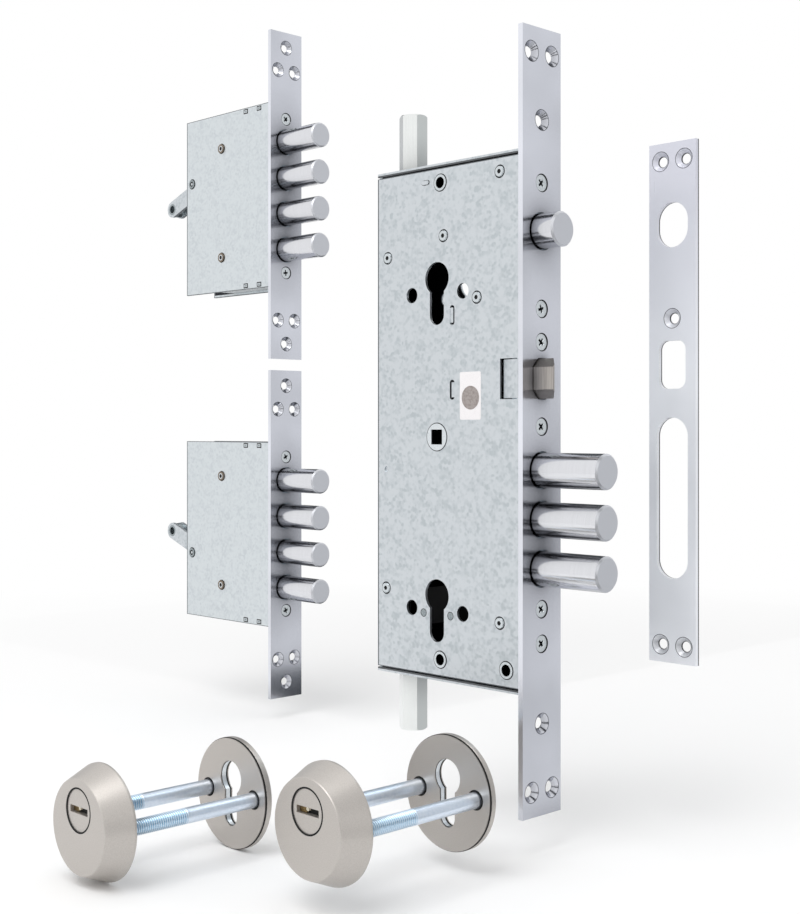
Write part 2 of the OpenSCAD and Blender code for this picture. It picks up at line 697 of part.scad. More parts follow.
// Auxiliary lock pieces, drawn for the upper lock; the lower one is their mirror image
module aux_case() {
    difference() {
        union() {
            plate_xz([case_rear, -aux_top], [case_front, aux_top], inner_back_y, wall);
            for (s = [0, 1]) mirror([0, 0, s]) {
                translate([aux_wall_rear, inner_front_y, aux_wall_top - wall])
                    cube([case_front - aux_wall_rear, inner_back_y - inner_front_y + eps, wall]);
                for (x = tab_xs)
                    translate([x - tab_w / 2, -half_t - 0.2, aux_wall_top - wall])
                        cube([tab_w, cover_t + 0.2 + eps, wall]);
            }
            translate([case_rear, inner_front_y, -50]) cube([wall, inner_back_y - inner_front_y + eps, 100]);
        }
        translate([case_rear - eps, inner_front_y - eps, aux_rear_slot[0]])
            cube([wall + 2 * eps, inner_back_y - inner_front_y, aux_rear_slot[1] - aux_rear_slot[0]]);
        pin_y(aux_pivot_x, lever_pivot_z, aux_pivot_d + 2 * fit_gap, inner_back_y - eps, wall + 2 * eps);
        for (s = [-1, 1])
            pin_y(aux_post[0], s * aux_post[1], aux_post_d + 2 * fit_gap, inner_back_y - eps, wall + 2 * eps);
    }
}

module aux_cover() {
    difference() {
        plate_xz([case_rear, -aux_top], [case_front, aux_top], -half_t, cover_t);
        pin_y(aux_pivot_x, lever_pivot_z, aux_pivot_d + 2 * fit_gap, -half_t - eps, cover_t + 2 * eps);
        for (s = [-1, 1])
            pin_y(aux_post[0], s * aux_post[1], aux_post_d + 2 * fit_gap, -half_t - eps, cover_t + 2 * eps);
        for (s = [0, 1]) mirror([0, 0, s]) for (x = tab_xs)
            translate([x - tab_w / 2 - tab_gap, -half_t - eps, aux_wall_top - wall - tab_gap])
                cube([tab_w + 2 * tab_gap, cover_t + 2 * eps, wall + 2 * tab_gap]);
    }
}

module aux_forend() {
    forend_strip(aux_forend_h, aux_bolt_zs, [-aux_screw_z, aux_screw_z],
        aux_forend_h / 2 - aux_pair_end, aux_forend_h / 2 - aux_single_end, fixing_pair);
}

// Shouldered posts: they rivet the case together and guide the bolt plate
module aux_posts() {
    for (s = [-1, 1]) {
        pin_y(aux_post[0], s * aux_post[1], aux_post_d, -half_t - eps, case_t + 2 * eps);
        for (y = [-half_t - 0.9, half_t]) difference() {
            pin_y(aux_post[0], s * aux_post[1], aux_post_head_d, y, 0.9);
            pin_y(aux_post[0], s * aux_post[1], 3, y < 0 ? y - 0.4 : y + 0.5, 0.8);
        }
    }
}

// Rivet on which the lever turns, its ends drilled for upsetting
module aux_pivot() {
    difference() {
        pin_y(aux_pivot_x, lever_pivot_z, aux_pivot_d, -half_t - 0.6, case_t + 1.2);
        for (y = [-half_t - 1, half_t - 0.4])
            pin_y(aux_pivot_x, lever_pivot_z, aux_pivot_d - 3, y, 1.4);
    }
}

module aux_screws() color(zinc) {
    for (at = [upper_aux_at, lower_aux_at]) translate(at)
        for (s = [-1, 1]) forend_screw(0, s * aux_screw_z);
}

module aux_guide() {
    difference() {
        translate([guide_rear, inner_front_y + slide_gap, -aux_screw_z - 5])
            cube([guide_d, inner_back_y - inner_front_y - slide_gap, 2 * aux_screw_z + 10]);
        for (z = aux_bolt_zs) pin_x(guide_rear - eps, 0, z, bolt_d + 2 * bolt_gap, guide_d + 2 * eps);
        for (s = [-1, 1])
            pin_x(guide_rear - eps, 0, s * aux_screw_z, screw_d + 2 * fit_gap, guide_d + 2 * eps);
    }
}

module aux_bolts() {
    for (z = aux_bolt_zs) round_bolt(z, aux_throw + aux_proud, aux_tail);
}

// Path of the driving pin seen from the bolt plate, so that the plate moves in
// step with the lever: the pin's arc less the plate's even travel
function cam_point(lean) = [
    lever_in * (sin(lean) - sin(lever_thrown)) + aux_throw * (lever_thrown - lean) / lever_swing,
    -lever_in * cos(lean)];
function cam_normal(lean) = let (
        d = cam_point(lean + 0.5) - cam_point(lean - 0.5))
    [d[1], -d[0]] / norm(d);

// Points half way round a path point, from one side of the path to the other
function cam_end(lean, r, from) = let (n = cam_normal(lean), start = from + atan2(n[1], n[0]))
    [for (i = [1:9]) cam_point(lean) + r * [cos(start + i * 18), sin(start + i * 18)]];

// The curved slot of the bolt plate; outline points that a round end covers are left out
module cam_slot(x, r) {
    steps = 16;
    leans = [for (i = [0:steps]) lever_lean + lever_swing * i / steps];
    side_a = [for (a = leans) cam_point(a) + r * cam_normal(a)];
    side_b = [for (i = [steps:-1:0]) cam_point(leans[i]) - r * cam_normal(leans[i])];
    outline = concat(side_a, cam_end(leans[steps], r, 0), side_b, cam_end(leans[0], r, 180));
    clean = [for (p = outline) if (min([for (a = leans) norm(p - cam_point(a))]) > r - 0.03) p];
    translate([x, plate_t, lever_pivot_z]) rotate([90, 0, 0])
        linear_extrude(2 * plate_t) polygon(clean);
}

module aux_plate() {
    head_rear = -aux_tail;
    edge = aux_bolt_zs[0] + bolt_r - 3;
    difference() {
        union() {
            plate_xz([aux_plate_rear, -aux_plate_edge], [plate_front, aux_plate_edge], -plate_t / 2, plate_t);
            plate_xz([head_rear, -edge], [plate_front, edge], -plate_t / 2, plate_t);
        }
        cam_slot(aux_pivot_x + lever_in * sin(lever_thrown), lever_pin_d / 2 + pin_gap);
        bar_xz([aux_plate_rear - 10, lever_pivot_z],
            [aux_pivot_x + aux_throw, lever_pivot_z], aux_pivot_d / 2 + slide_gap, -plate_t, 2 * plate_t);
        for (z = aux_bolt_zs) pin_y(bolt_pin_x, z, bolt_pin_d + 2 * fit_gap, -plate_t, 2 * plate_t);
        for (s = [-1, 1]) bar_xz([plate_front - 22, s * aux_pitch], [plate_front - 10, s * aux_pitch], 4, -plate_t, 2 * plate_t);
    }
    for (z = aux_bolt_zs) pin_y(bolt_pin_x, z, bolt_pin_d, -bolt_r + 1.5, bolt_d - 3);
}

// Points of the lever at rest: the rod hole and the driving pin
lever_rod_at = [aux_pivot_x - lever_out * cos(lever_rest), lever_pivot_z - lever_out * sin(lever_rest)];
lever_pin_at = [aux_pivot_x + lever_in * sin(lever_thrown), lever_pivot_z - lever_in * cos(lever_thrown)];

// Two plies on either side of the bolt plate, joined by the driving pin and the bush
module aux_lever() {
    pivot = [aux_pivot_x, lever_pivot_z];
    for (y = [-plate_t / 2 - slide_gap - lever_ply, plate_t / 2 + slide_gap]) difference() {
        union() {
            bar_xz(pivot, lever_rod_at, lever_w / 2, y, lever_ply);
            bar_xz(pivot, lever_pin_at, lever_w / 2, y, lever_ply);
        }
        pin_y(pivot[0], pivot[1], aux_pivot_d + 2 * fit_gap, y - eps, lever_ply + 2 * eps);
        pin_y(lever_rod_at[0], lever_rod_at[1], lever_hole_d + 3, y - eps, lever_ply + 2 * eps);
        pin_y(lever_pin_at[0], lever_pin_at[1], lever_pin_d + 2 * fit_gap, y - eps, lever_ply + 2 * eps);
    }
}

module aux_lever_pins() {
    reach = plate_t / 2 + slide_gap + lever_ply;
    pin_y(lever_pin_at[0], lever_pin_at[1], lever_pin_d, -reach, 2 * reach);
    difference() {
        union() {
            pin_y(lever_rod_at[0], lever_rod_at[1], lever_hole_d + 3 - 2 * fit_gap, -reach, 2 * reach);
            pin_y(lever_rod_at[0], lever_rod_at[1], lever_w - 1, -plate_t / 2 - slide_gap, plate_t + 2 * slide_gap);
        }
        pin_y(lever_rod_at[0], lever_rod_at[1], lever_hole_d, -reach - 1, 2 * reach + 2);
    }
}

module upper_aux() translate(upper_aux_at) children();
module lower_aux() translate(lower_aux_at) mirror([0, 0, 1]) children();

// A countersunk hole of the strike plate, which faces -Y
module strike_sink(x, z) {
    translate([x, strike_at[1], z]) rotate([-90, 0, 0]) {
        translate([0, 0, -eps]) cylinder(h = forend_t + 2 * eps, d = fixing_d);
        translate([0, 0, -eps])
            cylinder(h = (fixing_head_d - fixing_d) / 2, d1 = fixing_head_d, d2 = fixing_d);
    }
}

module strike_plate() color(chrome) {
    mid = strike_lift + 1.5;
    hole_z = service_z + strike_lift;
    slot_z = deadbolt_z + strike_lift;
    slot_h = 2 * bolt_pitch + bolt_d + 18.6;
    latch_hole_z = latch_z + strike_lift;
    y0 = strike_at[1];
    difference() {
        translate([strike_at[0] - forend_w / 2, y0, mid - strike_h / 2]) cube([forend_w, forend_t, strike_h]);
        bar_xz([strike_at[0], hole_z - 2.2], [strike_at[0], hole_z + 2.2], strike_hole_w / 2, y0 - eps, forend_t + 2 * eps);
        bar_xz([strike_at[0], slot_z - (slot_h - strike_hole_w) / 2], [strike_at[0], slot_z + (slot_h - strike_hole_w) / 2],
            strike_hole_w / 2, y0 - eps, forend_t + 2 * eps);
        for (s = [-1, 1]) for (x = [-1, 1])
            bar_xz([strike_at[0] + x * 3.6, latch_hole_z + s * 8], [strike_at[0] - x * 3.6, latch_hole_z + s * 8],
                5, y0 - eps, forend_t + 2 * eps);
        plate_xz([strike_at[0] - 8.6, latch_hole_z - 8], [strike_at[0] + 8.6, latch_hole_z + 8], y0 - eps, forend_t + 2 * eps);
        for (s = [-1, 1]) for (z = [mid + strike_h / 2 - 9.6, mid - strike_h / 2 + 9.4])
            strike_sink(strike_at[0] + s * 7.5, z);
        strike_sink(strike_at[0], hole_z - 50.5);
    }
}

// Escutcheon pieces, in the frame of a rose: the middle of its front face, cap towards -Y
module rose_cap() color(nickel) {
    cap_r = rose_d / 2 - 0.3;
    face_r = cap_face_d / 2;
    translate([0, -cap_apart, 0]) rotate([90, 0, 0]) difference() {
        rotate_extrude() polygon([[0, 0], [cap_r - 0.4, 0], [cap_r, 0.4], [cap_r, 1.4],
            [face_r + 0.4, cap_h - 0.4], [face_r, cap_h], [0, cap_h]]);
        for (s = [-1, 1]) translate([s * rose_bolts / 2, 0, -eps])
            cylinder(h = 8, d = rose_bolt_d + 2 * fit_gap);
        translate([0, disc_rise, -eps]) cylinder(h = cap_h + 1, r = disc_d / 2 + 0.5);
        translate([0, disc_rise, -eps]) cylinder(h = cap_h - 5 + eps, r = disc_d / 2 + 3.5 + slide_gap);
    }
}

// Turning disc behind the cap's mouth, with its key slot
module key_disc() color(nickel) {
    translate([0, -cap_apart, disc_rise]) rotate([90, 0, 0]) difference() {
        union() {
            translate([0, 0, cap_h - 9]) cylinder(h = 8.6, d = disc_d);
            translate([0, 0, cap_h - 9]) cylinder(h = 3.7, r = disc_d / 2 + 3.5);
        }
        translate([-7.6, -1.7, -eps]) cube([15.2, 3.4, cap_h + 1]);
    }
}

// Rose: a thin inner plate, a zinc core and the outer shell that hides it
module rose_holes(bolt_hole) {
    cylinder_cut(0, rose_bolt_drop, -1, rose_t + 2);
    for (s = [-1, 1]) pin_y(s * rose_bolts / 2, 0, bolt_hole, -1, rose_t + 2);
}

module rose_plate() color(nickel) {
    difference() {
        pin_y(0, 0, rose_d - 0.8, 0, rose_plate_t);
        rose_holes(rose_bolt_d + 1.4);
    }
}

module rose_core() color(zinc) {
    difference() {
        pin_y(0, 0, rose_d - 7, rose_plate_t, rose_core_t);
        rose_holes(rose_bolt_d + 2 * fit_gap);
        for (s = [-1, 1]) translate([s * rose_bolts / 2, rose_plate_t + rose_core_t - 1.8, 0])
            rotate([-90, 0, 0]) cylinder(h = 2, d = rose_bolt_d + 5);
    }
}

module rose_shell() color(nickel) {
    r = rose_d / 2;
    seam = rose_plate_t + 0.35;
    difference() {
        rotate([-90, 0, 0]) rotate_extrude() polygon([[r - 3.4, seam], [r - 0.2, seam], [r, seam + 0.2],
            [r, rose_t - 1.2], [r - 1.2, rose_t], [0, rose_t], [0, rose_t - 1], [r - 3.4, rose_t - 1]]);
        cylinder_cut(0, rose_bolt_drop, -1, rose_t + 2);
    }
}

module rose_bolts() color(zinc) {
    head = rose_plate_t + rose_core_t - 1.8;
    for (at = [left_rose_at, right_rose_at]) translate(at) for (s = [-1, 1]) {
        pin_y(s * rose_bolts / 2, 0, rose_bolt_d, -cap_apart - 6.5, cap_apart + 6.5 + head);
        pin_y(s * rose_bolts / 2, 0, rose_bolt_d + 4.6, head, 1.7);
    }
}

case_body();
cover_plate();
forend();
case_pillars();
cover_screws();
case_bushes();
forend_screws();
deadbolt_guide();
latch_guide();
service_guide();
rod_guides();
deadbolts();
bolt_plate();
bolt_pins();
drive_pins();
upper_rod();
upper_slide();
lower_rod();
lower_slide();
service_bolt();
service_tail();
latch_bolt();
latch_tail();
latch_spring();
follower();
follower_pin();
upper_aux() color(galvanised) aux_case();  // upper_aux_case
upper_aux() color(galvanised) aux_cover();  // upper_aux_cover
upper_aux() color(chrome) aux_forend();  // upper_aux_forend
upper_aux() color(bronze) aux_posts();  // upper_aux_posts
upper_aux() color(zinc) aux_pivot();  // upper_aux_pivot
upper_aux() color(zinc) aux_guide();  // upper_aux_guide
upper_aux() color(polished) aux_bolts();  // upper_aux_bolts
upper_aux() color(galvanised) aux_plate();  // upper_aux_plate
upper_aux() color(galvanised) aux_lever();  // upper_aux_lever
upper_aux() color(zinc) aux_lever_pins();  // upper_aux_lever_pins
lower_aux() color(galvanised) aux_case();  // lower_aux_case
lower_aux() color(galvanised) aux_cover();  // lower_aux_cover
lower_aux() color(chrome) aux_forend();  // lower_aux_forend
lower_aux() color(bronze) aux_posts();  // lower_aux_posts
lower_aux() color(zinc) aux_pivot();  // lower_aux_pivot
aux_screws();
lower_aux() color(zinc) aux_guide();  // lower_aux_guide
lower_aux() color(polished) aux_bolts();  // lower_aux_bolts
lower_aux() color(galvanised) aux_plate();  // lower_aux_plate
lower_aux() color(galvanised) aux_lever();  // lower_aux_lever
lower_aux() color(zinc) aux_lever_pins();  // lower_aux_lever_pins
strike_plate();
translate(left_rose_at) rose_cap();  // left_cap
translate(left_rose_at) key_disc();  // left_key_disc
translate(left_rose_at) rose_plate();  // left_rose_plate
translate(left_rose_at) rose_core();  // left_rose_core
translate(left_rose_at) rose_shell();  // left_rose_shell
translate(right_rose_at) rose_cap();  // right_cap
translate(right_rose_at) key_disc();  // right_key_disc
translate(right_rose_at) rose_plate();  // right_rose_plate
translate(right_rose_at) rose_core();  // right_rose_core
translate(right_rose_at) rose_shell();  // right_rose_shell
rose_bolts();
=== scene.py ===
# %% [markdown]
# # A multipoint door lock set, dressed for its picture
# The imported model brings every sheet, bolt and screw in its true place, so this script only adds
# what a camera sees and a machine shop would not draw: plating, thread, driver recesses and the
# paper label. Everything stays in the model's own frame, in metres, so no piece needs fitting.

import math

import bpy
import numpy as np
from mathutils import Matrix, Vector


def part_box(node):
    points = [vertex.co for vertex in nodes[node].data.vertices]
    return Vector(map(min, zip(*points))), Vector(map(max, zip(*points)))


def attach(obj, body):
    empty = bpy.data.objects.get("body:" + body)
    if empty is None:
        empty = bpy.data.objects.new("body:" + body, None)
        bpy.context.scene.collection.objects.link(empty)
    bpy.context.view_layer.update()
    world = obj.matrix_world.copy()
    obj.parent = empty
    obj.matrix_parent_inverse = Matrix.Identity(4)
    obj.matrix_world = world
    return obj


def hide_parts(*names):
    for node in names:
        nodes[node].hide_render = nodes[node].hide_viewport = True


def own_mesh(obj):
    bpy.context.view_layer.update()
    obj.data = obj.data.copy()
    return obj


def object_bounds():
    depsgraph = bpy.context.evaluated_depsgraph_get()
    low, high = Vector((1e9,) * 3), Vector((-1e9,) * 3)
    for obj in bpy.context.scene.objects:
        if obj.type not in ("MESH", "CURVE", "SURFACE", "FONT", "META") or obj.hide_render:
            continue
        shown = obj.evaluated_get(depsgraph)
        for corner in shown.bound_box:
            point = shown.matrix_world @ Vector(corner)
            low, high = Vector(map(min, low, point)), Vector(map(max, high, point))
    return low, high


MM = 0.001
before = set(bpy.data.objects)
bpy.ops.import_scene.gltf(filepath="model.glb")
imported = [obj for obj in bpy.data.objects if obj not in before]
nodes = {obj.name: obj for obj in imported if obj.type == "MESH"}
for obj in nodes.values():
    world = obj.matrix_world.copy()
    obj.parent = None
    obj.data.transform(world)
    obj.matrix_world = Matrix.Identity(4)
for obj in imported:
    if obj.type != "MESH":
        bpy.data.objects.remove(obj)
cad_box = [list(corner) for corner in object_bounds()]
print(f"{len(nodes)} nodes, box in mm:", [[round(v / MM, 1) for v in corner] for corner in cad_box])

# %% [markdown]
# ## Places read from the model
# The pieces that this script adds sit on faces of the model. Their places could be typed in, but
# the model knows them: each is a corner or the middle of a node's box, so an added piece stays on
# its face if that face moves.

# %% Faces and middles in mm
def corners_of(name):
    """Lowest and highest corners of a node, in mm, rounded to the micrometre."""
    return [np.round(np.array(corner) / MM, 3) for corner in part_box(name)]


def middle_of(name):
    """Middle of a node's box, in mm: half the sum of its lowest and highest corners."""
    low, high = corners_of(name)
    return (low + high) / 2


# The covers and the strike plate face -Y, and the forends face X.
COVER_FACE = corners_of("case_body")[0][1]
SIDE_FACE = corners_of("upper_aux_cover")[0][1]
SIDE_X, SIDE_Y = corners_of("upper_aux_forend")[1][0], middle_of("upper_aux_forend")[1]
SIDE_LOCKS = [(where, middle_of(f"{where}_aux_forend")[2], way_up)
              for where, way_up in (("upper", 1), ("lower", -1))]
STRIKE_X, STRIKE_FACE = middle_of("strike_plate")[0], corners_of("strike_plate")[0][1]
ROSES = {where: (middle_of(f"{where}_cap")[0], corners_of(f"{where}_rose_plate")[0][1],
                 middle_of(f"{where}_cap")[2]) for where in ("left", "right")}
KEY_ABOVE = 8  # from the middle of a rose up to its key disc and round opening
STUD_SIDE = 19  # from the middle of a rose to each of its bolts
print("faces:", COVER_FACE, SIDE_FACE, SIDE_X, STRIKE_FACE, "roses:", ROSES)

# %% [markdown]
# ## Camera
# The picture was taken level, with the cover seen from the right at about 45 degrees, so upright
# edges stay upright. A camera could also be aimed with a Track To constraint, but the place, turn
# and lens below were solved from the forend and case corners, so they are simply typed in. The
# picture is 914 pixels tall and the horizon lies 29 pixels above its middle: that is the shift.

# %% Place the camera
lens = bpy.data.cameras.new("portrait_lens")
lens.sensor_width = 36
lens.lens = 55.62
lens.shift_y = -29 / 914
lens.clip_start, lens.clip_end = 0.05, 20
camera = bpy.data.objects.new("portrait_camera", lens)
camera.location = (0.46755, -0.55624, -0.00318)
camera.rotation_euler = (math.radians(90), 0, math.radians(45.79))
bpy.context.scene.collection.objects.link(camera)
bpy.context.scene.camera = camera
print("camera at", [round(v, 3) for v in camera.location])

# %% [markdown]
# ## Small helpers for materials
# Colours are written as they look on a screen and turned to the linear values that a renderer
# adds up. One function adds any node: its inputs may be numbers, colours or another node's output.

# %% Helpers for colours and nodes
def linear(code):
    """Screen colour such as "C6CBCF" to linear red, green, blue, alpha: each channel follows the
    standard curve, a straight foot below 0.04 and a power of 2.4 above it."""
    screen = np.array([int(code[i:i + 2], 16) for i in (0, 2, 4)]) / 255
    values = np.where(screen <= 0.04045, screen / 12.92, ((screen + 0.055) / 1.055) ** 2.4)
    return (*values.tolist(), 1.0)


def add(tree, kind, inputs=None, **settings):
    """Adds one node, sets its options, and fills or links its inputs."""
    node = tree.nodes.new("ShaderNode" + kind)
    for key, value in settings.items():
        setattr(node, key, value)
    for key, value in (inputs or {}).items():
        if isinstance(value, bpy.types.NodeSocket):
            tree.links.new(value, node.inputs[key])
        else:
            node.inputs[key].default_value = value
    return node


def blank_finish(name, **sockets):
    """A material with one Principled shader; returns it, its tree, the shader and the Object
    coordinates that its patterns use."""
    material = bpy.data.materials.new(name)
    material.use_nodes = True
    tree = material.node_tree
    shader = tree.nodes["Principled BSDF"]
    for key, value in sockets.items():
        shader.inputs[key.replace("_", " ")].default_value = value
    return material, tree, shader, add(tree, "TexCoord").outputs["Object"]


def ramp(tree, factor, *stops):
    """A colour ramp through (place, colour code) stops."""
    node = add(tree, "ValToRGB", {"Fac": factor})
    while len(node.color_ramp.elements) < len(stops):
        node.color_ramp.elements.new(0.5)
    for element, (place, code) in zip(node.color_ramp.elements, stops):
        element.position, element.color = place, linear(code)
    return node.outputs["Color"]


def calculate(tree, operation, first, second):
    """The result of one Math node."""
    return add(tree, "Math", {0: first, 1: second}, operation=operation).outputs["Value"]


def spread_over(tree, value, low, high, start=0.0, end=1.0):
    """A value that runs from start to end, stretched to run from low to high and held there."""
    ends = {"Value": value, "From Min": start, "From Max": end, "To Min": low, "To Max": high}
    return add(tree, "MapRange", ends).outputs["Result"]


def noise(tree, place, size_mm, detail=2.0):
    """Soft noise whose patches are about size_mm wide."""
    look = {"Vector": place, "Scale": 1 / (size_mm * MM), "Detail": detail}
    return add(tree, "TexNoise", look).outputs["Fac"]


def drawn_noise(tree, place, sizes_mm):
    """Soft noise drawn out along the axes: its patches are sizes_mm wide in X, Y and Z."""
    scale = [1 / (size * MM) for size in sizes_mm]
    drawn = add(tree, "Mapping", {"Vector": place, "Scale": scale}).outputs["Vector"]
    return add(tree, "TexNoise", {"Vector": drawn, "Scale": 1.0, "Detail": 2.0}).outputs["Fac"]


def dimmed(code, share):
    """A colour code with each of its screen values multiplied by share."""
    return "".join(f"{int(int(code[i:i + 2], 16) * share):02X}" for i in (0, 2, 4))


def surface(tree, shader, colour, gloss, height, strength, depth_mm):
    """Gives a shader its colour, its roughness and a relief that is depth_mm deep."""
    relief = add(tree, "Bump", {"Height": height, "Strength": strength, "Distance": depth_mm * MM})
    tree.links.new(colour, shader.inputs["Base Color"])
    tree.links.new(gloss, shader.inputs["Roughness"])
    tree.links.new(relief.outputs["Normal"], shader.inputs["Normal"])


def blasted(material, metallic):
    """A plating over a blasted skin: part of its light scatters instead of mirroring."""
    material.node_tree.nodes["Principled BSDF"].inputs["Metallic"].default_value = metallic
    return material


print("helpers ready")

# %% [markdown]
# ## Dark places
# Metal looks darker inside a case and where other parts close it in, where little light reaches,
# and on a bare sheared edge. That shade is painted into the colour here: it could be painted by
# hand, but three small functions do it for any finish: one marks the space inside a box, one
# changes the colour where a mark is, and one asks how much of the sky a point sees.

# %% Marks for dark places
def inside_box(tree, place, centre, half):
    """1 inside a box and 0 outside: the least of half size minus distance on the three axes,
    cut off at zero. Centre and half are in mm."""
    away = add(tree, "VectorMath", {0: place, 1: [-v * MM for v in centre]}, operation="ADD")
    away = add(tree, "VectorMath", {0: away.outputs["Vector"]}, operation="ABSOLUTE")
    left = add(tree, "VectorMath", {0: [v * MM for v in half], 1: away.outputs["Vector"]},
               operation="SUBTRACT")
    axes = add(tree, "SeparateXYZ", {"Vector": left.outputs["Vector"]}).outputs
    least = calculate(tree, "MINIMUM", calculate(tree, "MINIMUM", axes["X"], axes["Y"]), axes["Z"])
    return calculate(tree, "GREATER_THAN", least, 0.0)


def darken(tree, colour, mask, code):
    """The colour, replaced by another one where the mask is 1."""
    tone = add(tree, "Mix", {"Factor": mask}, data_type="RGBA")
    tree.links.new(colour, tone.inputs["A"])
    tone.inputs["B"].default_value = linear(code)
    return tone.outputs["Result"]


def paint_closed_in_shade(tree, colour, code, reach, force=1):
    """The colour, turning to another one the more the parts within reach mm close the surface in;
    force is how many times faster than the share of sky that they hide.
    A mirror-like metal shows no soft shadow of its own, so this darkening is painted shade."""
    open_sky = add(tree, "AmbientOcclusion", {"Distance": reach * MM}, samples=8).outputs["AO"]
    closed = spread_over(tree, open_sky, 0.0, 1.0, 1.0, 1 - 1 / force)
    return darken(tree, colour, closed, code)


print("marks ready")

# %% [markdown]
# ## Galvanised sheet
# The cases are folded from galvanised steel: zinc laid on the coil freezes in small crystals, so
# the pale blue-grey surface is dappled with darker blotches 1 to 3 mm across, each with its own
# gloss. A photograph of such sheet could be wrapped round it, but a pattern worked out from the
# object's own coordinates has no seams at the folds. Metallic is 1, roughness 0.36 to 0.56.
# Inside a case little light gets in, so what lies deeper than the sheet's own thickness is painted
# dark as shade: a box a little smaller than the case marks that space, and its face is the depth.
# The sheared edges of a sheet have no zinc left on them, so the last 0.5 to 0.8 mm is darker steel.

# %% Galvanised sheet
def galvanised_sheet(name, light, dark, shade_box, rim_box=None, sheet=None):
    """The first box and rim_box are (centre, half size) in mm: the inside, painted dark as shade,
    and the sheared rim. sheet is a node whose rear, upper and lower edges are sheared."""
    crystal_size, bend_size, bend, blotch_size = 1.7 * MM, 4 * MM, 0.9 * MM, 6
    rear_edge, long_edge, beyond = 0.8, 0.45, 50
    material, tree, shader, place = blank_finish(name, Metallic=1.0)
    warp = add(tree, "TexNoise", {"Vector": place, "Scale": 1 / bend_size, "Detail": 2.0})
    bent = add(tree, "VectorMath", {0: warp.outputs["Color"], "Scale": bend}, operation="SCALE")
    moved = add(tree, "VectorMath", {0: place, 1: bent.outputs["Vector"]}, operation="ADD")
    grid = {"Vector": moved.outputs["Vector"], "Scale": 1 / crystal_size}
    crystal = add(tree, "TexVoronoi", grid, feature="SMOOTH_F1")
    facet = add(tree, "SeparateColor", {"Color": crystal.outputs["Color"]})
    blotch = noise(tree, place, blotch_size, 3.0)
    dapple = calculate(tree, "MULTIPLY", facet.outputs["Red"], blotch)
    colour = ramp(tree, dapple, (0.12, light), (0.46, dark))
    # Painted shade: the inside of the case is dark.
    colour = darken(tree, colour, inside_box(tree, place, *shade_box), "2C2E32")
    if rim_box:
        colour = darken(tree, colour, inside_box(tree, place, *rim_box), "636568")
    if sheet:
        low, high = corners_of(sheet)
        low += (rear_edge, -beyond, long_edge)
        high += (beyond, beyond, -long_edge)
        face = inside_box(tree, place, (low + high) / 2, (high - low) / 2)
        colour = darken(tree, colour, calculate(tree, "SUBTRACT", 1.0, face), "6A6E72")
    surface(tree, shader, colour, spread_over(tree, dapple, 0.36, 0.56),
            noise(tree, place, 0.7), 0.25, 0.02)
    return material


case_inside_shade = ((-52, 0.35, 0), (54, 12.95, 137.2))
case_rim = ((-55, COVER_FACE, 0), (60, 0.15, 137.4))
cover_zinc = galvanised_sheet("galvanised_cover_sheet", "CFD4D8", "BCC3C7", case_inside_shade,
                              sheet="cover_plate")
case_zinc = galvanised_sheet("galvanised_case_sheet", "CFD4D8", "BCC3C7", case_inside_shade, case_rim)
side_zinc = [
    galvanised_sheet(f"galvanised_{where}_case_sheet", "D6DCDF", "CCD2D6",
                     ((-409, SIDE_Y, mid), (54, 14.1, 67.4)), sheet=f"{where}_aux_cover")
    for where, mid, _ in SIDE_LOCKS]
print("galvanised sheet for three cases")

# %% [markdown]
# ## Satin chrome on the forends
# The forends and the strike plate are steel strip, linished along their length and then plated
# with satin chrome. The linishing leaves hair-fine lines up the strip, and the plate is still
# smooth enough to mirror the bolts in a soft way. Real lines are about 0.05 mm apart and would not
# show, so they are drawn 0.35 mm apart and 30 mm long. The strike plate is blasted before it is
# plated, its upper end carries painted shade, a darker tone where less light falls, and its rear
# edge is darker over the last 0.8 mm.

# %% Satin chrome strip
def satin_chrome(name, tone, rough, line_depth, edge_box=None, top=None):
    """Linished strip under satin chrome, darker in edge_box. Such a strip's tone turns to the one
    called top between 20 and 140 mm up: painted shade."""
    material, tree, shader, place = blank_finish(name, Metallic=1.0)
    lines = drawn_noise(tree, place, (0.35, 0.35, 30))
    cloud = ramp(tree, noise(tree, place, 60), (0.3, dimmed(tone, 0.93)), (0.65, tone))
    # Painted shade where the bolts and other parts within 34 mm close the strip in.
    colour = paint_closed_in_shade(tree, cloud, "2A2C33", 34, 1.5)
    if edge_box:
        height = add(tree, "SeparateXYZ", {"Vector": place}).outputs["Z"]
        # Painted shade: higher up the strip turns to the darker top tone.
        colour = darken(tree, colour, spread_over(tree, height, 0.0, 1.0, 20 * MM, 140 * MM), top)
        colour = darken(tree, colour, inside_box(tree, place, *edge_box), "3A3C41")
    surface(tree, shader, colour, spread_over(tree, lines, rough - 0.05, rough + 0.07),
            lines, line_depth, 0.01)
    return material


strip_chrome = satin_chrome("satin_chrome_strip", "EAECF4", 0.17, 0.10)
back_edge = middle_of("strike_plate")
back_edge[1] = corners_of("strike_plate")[1][1] - 0.43
plate_chrome = blasted(satin_chrome("satin_chrome_strike_strip", "F4F6FB", 0.30, 0.04,
                                    (back_edge, (20, 0.4, 150)), "D3D4DE"), 0.3)
print("satin chrome for the strips")

# %% [markdown]
# ## Polished chrome bolts
# The bolts are turned and ground steel under bright chrome: nearly a mirror round their sides,
# where the wheel left hair-fine rings, with a bevel and a faced end that are matt. The end is told
# from the side by the surface's own direction, which holds for every bolt, wherever it slides.
# The rings are really 0.05 mm apart; they are drawn 0.4 mm apart, which the picture can show.

